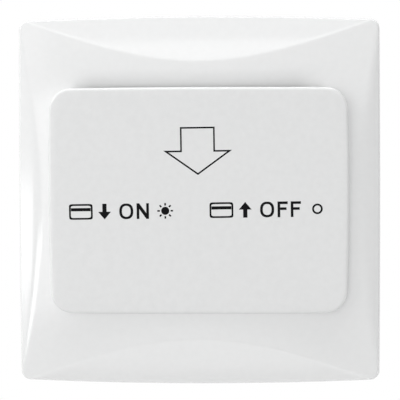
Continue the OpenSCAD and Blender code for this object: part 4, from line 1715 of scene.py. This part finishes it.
    def lamp_sign(self, left: float, lit: bool) -> tuple[Loops, float]:
        """Draws a round lamp, with rays where it is lit.

        Args:
            left: Where it starts.
            lit: Whether it has rays.

        Returns:
            Its loops and where it ends.
        """
        width = self.legend_h
        middle = (left + width / 2.0, self.legend_y)
        if not lit:
            return [self.oval(middle, (radius, radius)) for radius in self.dark_r], left + width
        loops = [self.oval(middle, (self.lamp_r, self.lamp_r))]
        for step in range(self.ray_count):
            angle = 2.0 * math.pi / self.ray_count * step
            along = Vector((math.cos(angle), math.sin(angle)))
            across = Vector((-along.y, along.x)) * self.ray_half
            near, far = (Vector(middle) + along * reach for reach in self.ray_reach)
            loops.append([tuple(spot) for spot in (near - across, far - across, far + across, near + across)])
        return loops, left + width

    def legend(self) -> Loops:
        """Draws the line of signs across the panel.

        Returns:
            The loops of all the signs.
        """
        loops: Loops = []

        def add(part: tuple[Loops, float], gap: float = 0.0) -> float:
            """Keeps a sign's loops and gives where the next sign starts."""
            loops.extend(part[0])
            return part[1] + gap

        left = add(self.card_sign(self.on_x), self.card_gap)
        left = add(self.small_arrow(left, Turn.DOWN), self.word_gap)
        left = add(self.letter_o(left), self.round_gap)
        left = add(self.letter_n(left), self.word_gap)
        add(self.lamp_sign(left, True))
        left = add(self.card_sign(self.off_x), self.card_gap)
        left = add(self.small_arrow(left, Turn.UP), self.word_gap)
        left = add(self.letter_o(left), self.round_gap)
        left = add(self.letter_f(left), self.bar_gap)
        left = add(self.letter_f(left), self.word_gap)
        add(self.lamp_sign(left, False))
        return loops

    def build(self) -> bpy.types.Object:
        """Makes and dresses the print as a thin film on the panel's face.

        Returns:
            The finished piece.
        """
        curve = bpy.data.curves.new("panel_print", "CURVE")
        curve.dimensions = "2D"
        curve.fill_mode = "BOTH"
        curve.extrude = self.film / 2.0
        for loop in [*self.big_arrow(), *self.legend()]:
            spline = curve.splines.new("POLY")
            spline.points.add(len(loop) - 1)
            spline.points.foreach_set("co", [value for x, y in loop for value in (x, y, 0.0, 1.0)])
            spline.use_cyclic_u = True
        drawn = bpy.data.objects.new("panel_print_curve", curve)
        bpy.context.scene.collection.objects.link(drawn)
        graph = bpy.context.evaluated_depsgraph_get()
        mesh = bpy.data.meshes.new_from_object(drawn.evaluated_get(graph), depsgraph=graph)
        bpy.data.objects.remove(drawn)
        flat = np.empty(len(mesh.vertices) * 3)
        mesh.vertices.foreach_get("co", flat)
        flat = flat.reshape(-1, 3)
        angle = math.radians(self.turn)
        turned = np.stack(
            [
                flat[:, 0] * math.cos(angle) - flat[:, 1] * math.sin(angle),
                flat[:, 0] * math.sin(angle) + flat[:, 1] * math.cos(angle),
                flat[:, 2] + self.film / 2.0,
            ],
            axis=1,
        )
        mesh.vertices.foreach_set("co", to_row(self.panel.lean_points(turned)).ravel())
        piece = bpy.data.objects.new("panel_print", mesh)
        bpy.context.scene.collection.objects.link(piece)
        clean(piece)
        dress_piece(piece, self.finish)
        place_piece(piece, ())
        return piece


@dataclass
class ScrewSet:
    """Pan-head screws with a cross recess and a thread, all facing the back of the switch.

    The head's profile gives shares of its radius and height. The recess gives a bar's length and width as shares of the
    head's radius and its middle as a share of the head's height. Core and ridge give shares of the shank's radius.
    """

    node: str
    spots: tuple[Spot, ...]
    head_r: float
    head_h: float
    shank_r: float
    shank_l: float
    pitch: float = 0.7
    profile: tuple[Point, ...] = (
        (0.94, 0.0), (1.0, 0.06), (1.0, 0.5), (0.95, 0.68), (0.83, 0.84), (0.62, 0.95), (0.34, 1.0)
    )
    head_sides: int = 40
    recess: Spot = (1.15, 0.26, 0.95)
    core: Point = (0.86, 0.7)
    core_sides: int = 24
    ridge: Point = (0.84, 0.13)
    ridge_sides: int = 4
    ridge_steps: int = 20
    thread_share: float = 0.9
    thread_end: float = 0.97
    weld: float = 0.001
    sharp_angle: float = 32.0
    finish: Finish = field(
        default_factory=lambda: Metal("screw_zinc", (0.62, 0.63, 0.64), roughness=0.27, along=RowAxis.X, tarnish=0.2)
    )

    def tree(self) -> ShapeTree:
        """Makes the tree of one screw at each point.

        Returns:
            The tree, with every size in metres.
        """
        sizes = {
            "Head Radius": self.head_r,
            "Head Height": self.head_h,
            "Shank Radius": self.shank_r,
            "Shank Length": self.shank_l,
            "Thread Pitch": self.pitch,
        }
        made = ShapeTree(f"{self.node}_set", {name: value * MM for name, value in sizes.items()})
        graph = made.graph
        solid = graph.node("GeometryNodeMergeByDistance")
        head = [*self._sides(made), *self._ends(made)]
        graph.fill(solid, Geometry=self._joined(graph, head), Distance=self.weld * MM)
        cut = graph.node("GeometryNodeMeshBoolean", operation="DIFFERENCE", solver="EXACT")
        graph.feed(cut.inputs["Mesh 1"], solid.outputs[0])
        for turned in (False, True):
            graph.feed(cut.inputs["Mesh 2"], self._recess_bar(made, turned))
        whole = self._joined(graph, [cut.outputs["Mesh"], *self._thread(made)])
        placed = graph.node("GeometryNodeInstanceOnPoints")
        graph.fill(
            placed, Points=made.source.outputs["Geometry"], Instance=whole, Rotation=(-math.pi / 2.0, 0.0, 0.0)
        )
        made.close(placed.outputs[0])
        return made

    def _sides(self, made: ShapeTree) -> list[bpy.types.NodeSocket]:
        """Makes the rings of the head's side.

        Args:
            made: The screw's tree.

        Returns:
            The open rings' meshes.
        """
        graph, radius, height = made.graph, made.size("Head Radius"), made.size("Head Height")
        rings = []
        for (low_r, low_z), (high_r, high_z) in zip(self.profile, self.profile[1:]):
            ring = graph.node("GeometryNodeMeshCone", fill_type="NONE")
            graph.fill(
                ring,
                Vertices=self.head_sides,
                Radius_Top=graph.math("MULTIPLY", radius, high_r),
                Radius_Bottom=graph.math("MULTIPLY", radius, low_r),
                Depth=graph.math("MULTIPLY", height, high_z - low_z),
            )
            rings.append(self._lifted(graph, ring.outputs["Mesh"], graph.math("MULTIPLY", height, low_z)))
        return rings

    def _ends(self, made: ShapeTree) -> list[bpy.types.NodeSocket]:
        """Makes the flat discs that close the head below and above.

        Args:
            made: The screw's tree.

        Returns:
            The two discs' meshes.
        """
        graph, radius, height = made.graph, made.size("Head Radius"), made.size("Head Height")
        discs = []
        for share, level in (self.profile[0], self.profile[-1]):
            disc = graph.node("GeometryNodeMeshCircle", fill_type="NGON")
            graph.fill(disc, Vertices=self.head_sides, Radius=graph.math("MULTIPLY", radius, share))
            mesh = disc.outputs["Mesh"]
            if level == 0.0:
                flipped = graph.node("GeometryNodeFlipFaces")
                graph.feed(flipped.inputs[0], mesh)
                mesh = flipped.outputs[0]
            discs.append(self._lifted(graph, mesh, graph.math("MULTIPLY", height, level)))
        return discs

    @staticmethod
    def _lifted(graph: Graph, mesh: Feed, level: Feed) -> bpy.types.NodeSocket:
        """Moves a mesh up its axis.

        Args:
            graph: The tree.
            mesh: The mesh.
            level: How far.

        Returns:
            The moved mesh.
        """
        shift = graph.node("ShaderNodeCombineXYZ")
        graph.feed(shift.inputs[2], level)
        moved = graph.node("GeometryNodeTransform")
        graph.fill(moved, Geometry=mesh, Translation=shift.outputs[0])
        return moved.outputs[0]

    @staticmethod
    def _joined(graph: Graph, parts: list[bpy.types.NodeSocket]) -> bpy.types.NodeSocket:
        """Joins several meshes into one.

        Args:
            graph: The tree.
            parts: The meshes.

        Returns:
            The joined mesh.
        """
        made = graph.node("GeometryNodeJoinGeometry")
        for part in reversed(parts):
            graph.feed(made.inputs[0], part)
        return made.outputs[0]

    def _recess_bar(self, made: ShapeTree, turned: bool) -> bpy.types.NodeSocket:
        """Makes one bar of the cross recess.

        Args:
            made: The screw's tree.
            turned: Whether the bar lies across.

        Returns:
            The bar's mesh.
        """
        graph, radius, height = made.graph, made.size("Head Radius"), made.size("Head Height")
        long, wide = (graph.math("MULTIPLY", radius, share) for share in self.recess[:2])
        size = graph.node("ShaderNodeCombineXYZ")
        for socket, value in zip(size.inputs, (wide, long, height) if turned else (long, wide, height)):
            graph.feed(socket, value)
        bar = graph.node("GeometryNodeMeshCube")
        graph.feed(bar.inputs["Size"], size.outputs[0])
        return self._lifted(graph, bar.outputs["Mesh"], graph.math("MULTIPLY", height, self.recess[2]))

    def _thread(self, made: ShapeTree) -> list[bpy.types.NodeSocket]:
        """Makes the core of the shank and the ridge that winds round it.

        Args:
            made: The screw's tree.

        Returns:
            Their meshes, below the head.
        """
        graph = made.graph
        radius, length = made.size("Shank Radius"), made.size("Shank Length")
        core = graph.node("GeometryNodeMeshCone", fill_type="NGON")
        graph.fill(
            core,
            Vertices=self.core_sides,
            Radius_Top=graph.math("MULTIPLY", radius, self.core[0]),
            Radius_Bottom=graph.math("MULTIPLY", radius, self.core[1]),
            Depth=length,
        )
        ridge_r, line_r = (graph.math("MULTIPLY", radius, share) for share in self.ridge)
        climb = graph.math("MULTIPLY", length, self.thread_share)
        spiral = graph.node("GeometryNodeCurveSpiral")
        graph.fill(
            spiral,
            Resolution=self.ridge_steps,
            Rotations=graph.math("DIVIDE", climb, made.size("Thread Pitch")),
            Start_Radius=ridge_r,
            End_Radius=ridge_r,
            Height=climb,
        )
        line = graph.node("GeometryNodeCurvePrimitiveCircle")
        graph.fill(line, Resolution=self.ridge_sides, Radius=line_r)
        ridge = graph.node("GeometryNodeCurveToMesh")
        graph.fill(ridge, Curve=spiral.outputs[0], Profile_Curve=line.outputs[0], Fill_Caps=True)
        return [
            self._lifted(graph, core.outputs["Mesh"], graph.math("MULTIPLY", length, -1.0)),
            self._lifted(graph, ridge.outputs["Mesh"], graph.math("MULTIPLY", length, -self.thread_end)),
        ]

    def build(self) -> bpy.types.Object:
        """Makes and dresses the screws.

        Returns:
            The finished piece.
        """
        piece = new_object(f"{self.node}_turned", to_row(np.array(self.spots)), [])
        self.tree().run(piece, self.finish)
        clean(piece)
        smooth(piece, self.sharp_angle)
        place_piece(piece, (self.node,))
        return piece


@dataclass
class SoftNode:
    """A CAD solid whose moulded or stamped edges are rounded."""

    node: str
    slot: str
    finish: Finish
    edge: float = 0.2
    weld: float = 0.002
    flat_angle: float = 0.6
    sharp_angle: float = 32.0

    def build(self) -> bpy.types.Object:
        """Copies the solid, rounds its edges and dresses it.

        Returns:
            The finished piece.
        """
        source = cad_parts[self.node]
        piece = bpy.data.objects.new(f"{self.node}_soft", source.data.copy())
        bpy.context.scene.collection.objects.link(piece)
        work = bmesh.new()
        work.from_mesh(piece.data)
        bmesh.ops.remove_doubles(work, verts=work.verts, dist=self.weld * MM)
        flat = math.radians(self.flat_angle)
        bmesh.ops.dissolve_limit(work, angle_limit=flat, verts=work.verts, edges=work.edges)
        work.to_mesh(piece.data)
        work.free()
        soften(piece, self.edge)
        smooth(piece, self.sharp_angle)
        level_shading(piece)
        dress_piece(piece, self.finish)
        place_piece(piece, (self.node,))
        return piece


@dataclass
class InnerWorks:
    """The CAD solids that stay as they are and get a finish each."""

    finishes: dict[str, Finish]

    def build(self) -> None:
        """Dresses each solid."""
        for node, finish in self.finishes.items():
            dress_piece(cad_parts[node], finish)
            LOG.info("%s: dressed as %s", node, finish.name)


@dataclass(frozen=True)
class Lamp:
    """One soft white studio lamp, which points at the middle of the switch."""

    name: str
    spot: Spot
    size: Point
    power: float


@dataclass
class Studio:
    """Floor, lamps, white surroundings and the camera at the photograph's angle."""

    distance: float = 350.0
    azimuth: float = 1.8
    elevation: float = 1.77
    roll: float = -0.21
    view_w: float = 96.77
    aim: Spot = (0.09, -4.0, -0.04)
    sensor: float = 36.0
    clip: float = 10.0
    floor_z: float = -520.0
    floor_r: float = 580.0
    floor_points: int = 96
    ambient: float = 0.56
    left_lean: float = 0.4
    lamps: tuple[Lamp, ...] = (
        Lamp("top_bank", (49.3, -704.6, 375.6), (760.0, 150.0), 0.425),
        Lamp("overhead_bank", (5.1, -145.4, 684.7), (760.0, 120.0), 2.35),
        Lamp("left_bank", (-640.2, -298.5, 375.6), (420.0, 420.0), 1.15),
        Lamp("left_strip", (-705.4, -328.9, -51.7), (380.0, 90.0), 0.22),
        Lamp("left_front", (-273.4, -751.3, -27.9), (170.0, 340.0), 0.17),
        Lamp("corner_front", (-312.8, -702.5, 220.5), (130.0, 130.0), 0.03),
        Lamp("low_left", (-393.9, -682.3, -138.9), (190.0, 160.0), 0.27),
        Lamp("table_bounce", (0.0, -670.9, -435.7), (760.0, 190.0), 0.28),
        Lamp("floor_bounce", (0.0, -238.5, -381.6), (500.0, 200.0), 0.1),
        Lamp("right_graze", (719.7, -126.9, -325.4), (300.0, 300.0), 0.6),
    )
    finish: Finish = field(default_factory=lambda: PaleGround("studio_floor", (0.86, 0.86, 0.86)))

    def floor(self) -> None:
        """Lays the pale floor below the switch."""
        turn = np.linspace(0.0, 2.0 * math.pi, self.floor_points, endpoint=False)
        level = np.full_like(turn, self.floor_z)
        ring = np.stack([self.floor_r * np.cos(turn), self.floor_r * np.sin(turn), level], axis=1)
        made = new_object("studio_floor", ring * MM, [tuple(range(self.floor_points))])
        dress_piece(made, self.finish)

    def world(self) -> None:
        """Makes a background that is seen white and lights the object at a plain level, a little more from the left."""
        world = bpy.data.worlds.new("studio_white")
        world.use_nodes = True
        bpy.context.scene.world = world
        graph = Graph(world.node_tree)
        world.node_tree.nodes.clear()
        seen = graph.seen()
        lean = graph.math("MULTIPLY", graph.axes()[RowAxis.X.value], self.left_lean)
        soft = graph.math("MULTIPLY", graph.math("SUBTRACT", 1.0, lean), self.ambient)
        light = graph.fill(graph.node("ShaderNodeBackground"), Color=(*WHITE, 1.0), Strength=soft)
        white = graph.fill(graph.node("ShaderNodeBackground"), Color=(*WHITE, 1.0), Strength=1.0)
        both = graph.node("ShaderNodeMixShader")
        for socket, value in zip(both.inputs, (seen, light.outputs[0], white.outputs[0])):
            graph.feed(socket, value)
        graph.feed(graph.node("ShaderNodeOutputWorld").inputs["Surface"], both.outputs[0])

    def light(self) -> None:
        """Hangs the lamps."""
        for lamp in self.lamps:
            data = bpy.data.lights.new(lamp.name, "AREA")
            data.shape = "RECTANGLE"
            data.size, data.size_y = lamp.size[0] * MM, lamp.size[1] * MM
            data.energy = lamp.power
            made = bpy.data.objects.new(lamp.name, data)
            made.location = Vector(lamp.spot) * MM
            made.rotation_euler = (-made.location).to_track_quat("-Z", "Y").to_euler()
            bpy.context.scene.collection.objects.link(made)

    def camera(self) -> None:
        """Sets the camera for a square picture."""
        data = bpy.data.cameras.new("photo_view")
        data.sensor_width = self.sensor
        data.lens = self.sensor * self.distance / self.view_w
        data.clip_start = self.clip * MM
        made = bpy.data.objects.new("photo_view", data)
        turn, rise = math.radians(self.azimuth), math.radians(self.elevation)
        way = Vector((math.sin(turn) * math.cos(rise), -math.cos(turn) * math.cos(rise), math.sin(rise)))
        aim = Vector(self.aim) * MM
        made.location = aim + way * self.distance * MM
        level = (-way).to_track_quat("-Z", "Y")
        made.rotation_euler = (level @ Quaternion((0.0, 0.0, 1.0), math.radians(self.roll))).to_euler()
        bpy.context.scene.collection.objects.link(made)
        bpy.context.scene.camera = made

    def build(self) -> None:
        """Sets up the whole studio."""
        self.floor()
        self.world()
        self.light()
        self.camera()
        bpy.context.scene.view_settings.view_transform = "Standard"
        LOG.info("studio: %d lamps, camera at %.0f mm", len(self.lamps), self.distance)


def screw_sets() -> list[ScrewSet]:
    """Lists the four sets of screws, at the solids' places.

    Returns:
        The sets.
    """
    corners = [(x, y) for x in (-1, 1) for y in (-1, 1)]
    poles = (-11.7, -3.9, 3.9, 11.7)
    guide = tuple((20.0 * x, 14.0 * y, 0.8) for x, y in corners)
    housing = tuple((20.0 * x, 25.0 * y, -26.0) for x, y in corners)
    board = ((19.5, -2.3, -8.1), (-19.5, 6.0, -8.1))
    terminals = tuple((x, -21.7, -26.0) for x in poles)
    return [
        ScrewSet("guide_screws", guide, head_r=1.9, head_h=1.4, shank_r=0.9, shank_l=5.2),
        ScrewSet("housing_screws", housing, head_r=2.3, head_h=1.8, shank_r=1.2, shank_l=12.0, pitch=0.9),
        ScrewSet("board_screws", board, head_r=1.9, head_h=1.4, shank_r=1.0, shank_l=5.0),
        ScrewSet("terminal_screws", terminals, head_r=2.17, head_h=1.8, shank_r=1.5, shank_l=7.9),
    ]


def soft_nodes() -> list[SoftNode]:
    """Lists the solids whose edges are rounded.

    Returns:
        The solids with their finishes.
    """
    white = Moulding("guide_plain_white", (0.78, 0.78, 0.77), roughness=0.42, grain=0.3, depth=0.006)
    plate = Moulding("plate_off_white", (0.72, 0.72, 0.7), roughness=0.45, grain=0.4, depth=0.008)
    black = Moulding("housing_grained_black", (0.05, 0.051, 0.054), roughness=0.5, grain=0.32, depth=0.03, mottle=0.2)
    relay = Moulding("relay_case_black", (0.03, 0.03, 0.034), roughness=0.22, grain=0.5)
    yellow = Moulding("film_box_yellow", (0.6, 0.44, 0.06), roughness=0.35)
    green = Moulding("block_green", (0.04, 0.19, 0.115), roughness=0.38, grain=0.4)
    return [
        SoftNode("card_guide", "guide_white", white, edge=0.15),
        SoftNode("mounting_plate", "plate_white", plate, edge=0.18),
        SoftNode("rear_housing", "housing_black", black, edge=0.3),
        SoftNode("relay", "relay_black", relay, edge=0.3),
        SoftNode("film_capacitor", "film_yellow", yellow, edge=0.35),
        SoftNode("terminal_block", "block_green", green, edge=0.2),
    ]


def inner_finishes() -> dict[str, Finish]:
    """Lists the finishes of the solids that stay as they are.

    Returns:
        A finish for each node.
    """
    brass = Metal("terminal_brass", (0.72, 0.55, 0.27), roughness=0.3, along=RowAxis.X)
    case = Moulding("case_black", (0.03, 0.03, 0.032), roughness=0.4, grain=0.2, depth=0.008)
    board = Laminate("board_green", (0.03, 0.17, 0.08))
    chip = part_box("controller_chip")
    resistor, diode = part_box("resistors"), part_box("rectifier_diodes")
    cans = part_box("electrolytic_capacitors")
    return {
        "circuit_board": board,
        "electrolytic_capacitors": Sleeved(
            "can_navy",
            (0.03, 0.045, 0.12),
            middles=(cans[0][0] + 0.0002, cans[1][0] - 0.0002),
            end=cans[1][1] - 0.0006,
        ),
        "controller_chip": Leaded(
            "chip_black",
            (0.03, 0.03, 0.032),
            axis=RowAxis.Z,
            middle=(chip[0][2] + chip[1][2]) / 2.0,
            reach=0.00312,
        ),
        "rectifier_diodes": Banded(
            "diode_black",
            (0.035, 0.035, 0.038),
            lie=RowAxis.Z,
            middle=(-0.0162, board.back + 0.0016, (diode[0][2] + diode[1][2]) / 2.0),
            pitch=0.0036,
            body_half=0.00222,
            bands=((0.0015, 0.0007, (0.6, 0.6, 0.6)),),
        ),
        "resistors": Banded(
            "resistor_blue",
            (0.2, 0.38, 0.48),
            lie=RowAxis.X,
            middle=(0.0, board.back + 0.0014, (resistor[0][2] + resistor[1][2]) / 2.0),
            pitch=0.0068,
            body_half=0.00172,
            bands=(
                (-0.0011, 0.0004, (0.28, 0.1, 0.04)),
                (-0.0004, 0.0004, (0.02, 0.02, 0.02)),
                (0.0003, 0.0004, (0.5, 0.03, 0.02)),
                (0.0011, 0.0004, (0.5, 0.35, 0.08)),
            ),
        ),
        "varistor": Leaded(
            "varistor_blue", (0.06, 0.15, 0.34), axis=RowAxis.Y, middle=0.0145, reach=0.0051, roughness=0.3
        ),
        "locator_led": ClearLens("lamp_clear", (0.86, 0.92, 0.97)),
        "terminal_clamps": brass,
        "switch_case": case,
        "switch_lid": Moulding("lid_red", (0.42, 0.08, 0.05), roughness=0.4, grain=0.2, depth=0.008),
        "common_terminal": brass,
        "open_terminal": brass,
        "closed_terminal": brass,
        "switch_plunger": Moulding("plunger_red", (0.55, 0.06, 0.05), roughness=0.35, grain=0.2),
        "switch_blade": Metal("blade_bronze", (0.66, 0.42, 0.25), roughness=0.28, along=RowAxis.Z),
        "card_lever": Metal("lever_steel", (0.66, 0.67, 0.68), roughness=0.24, along=RowAxis.Z),
        "lever_pin": Metal("pin_steel", (0.62, 0.63, 0.64), roughness=0.22, along=RowAxis.X),
    }


def main() -> None:
    """Builds every piece in order."""
    logging.basicConfig(level=logging.INFO, format="%(name)s: %(message)s")
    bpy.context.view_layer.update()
    Studio().build()
    shell = FrontFrame()
    shell.build()
    panel = CardPanel(shell)
    panel.build()
    PanelPrint(panel).build()
    for screws in screw_sets():
        screws.build()
    for soft in soft_nodes():
        soft.build()
    InnerWorks(inner_finishes()).build()


if __name__ == "__main__":
    main()
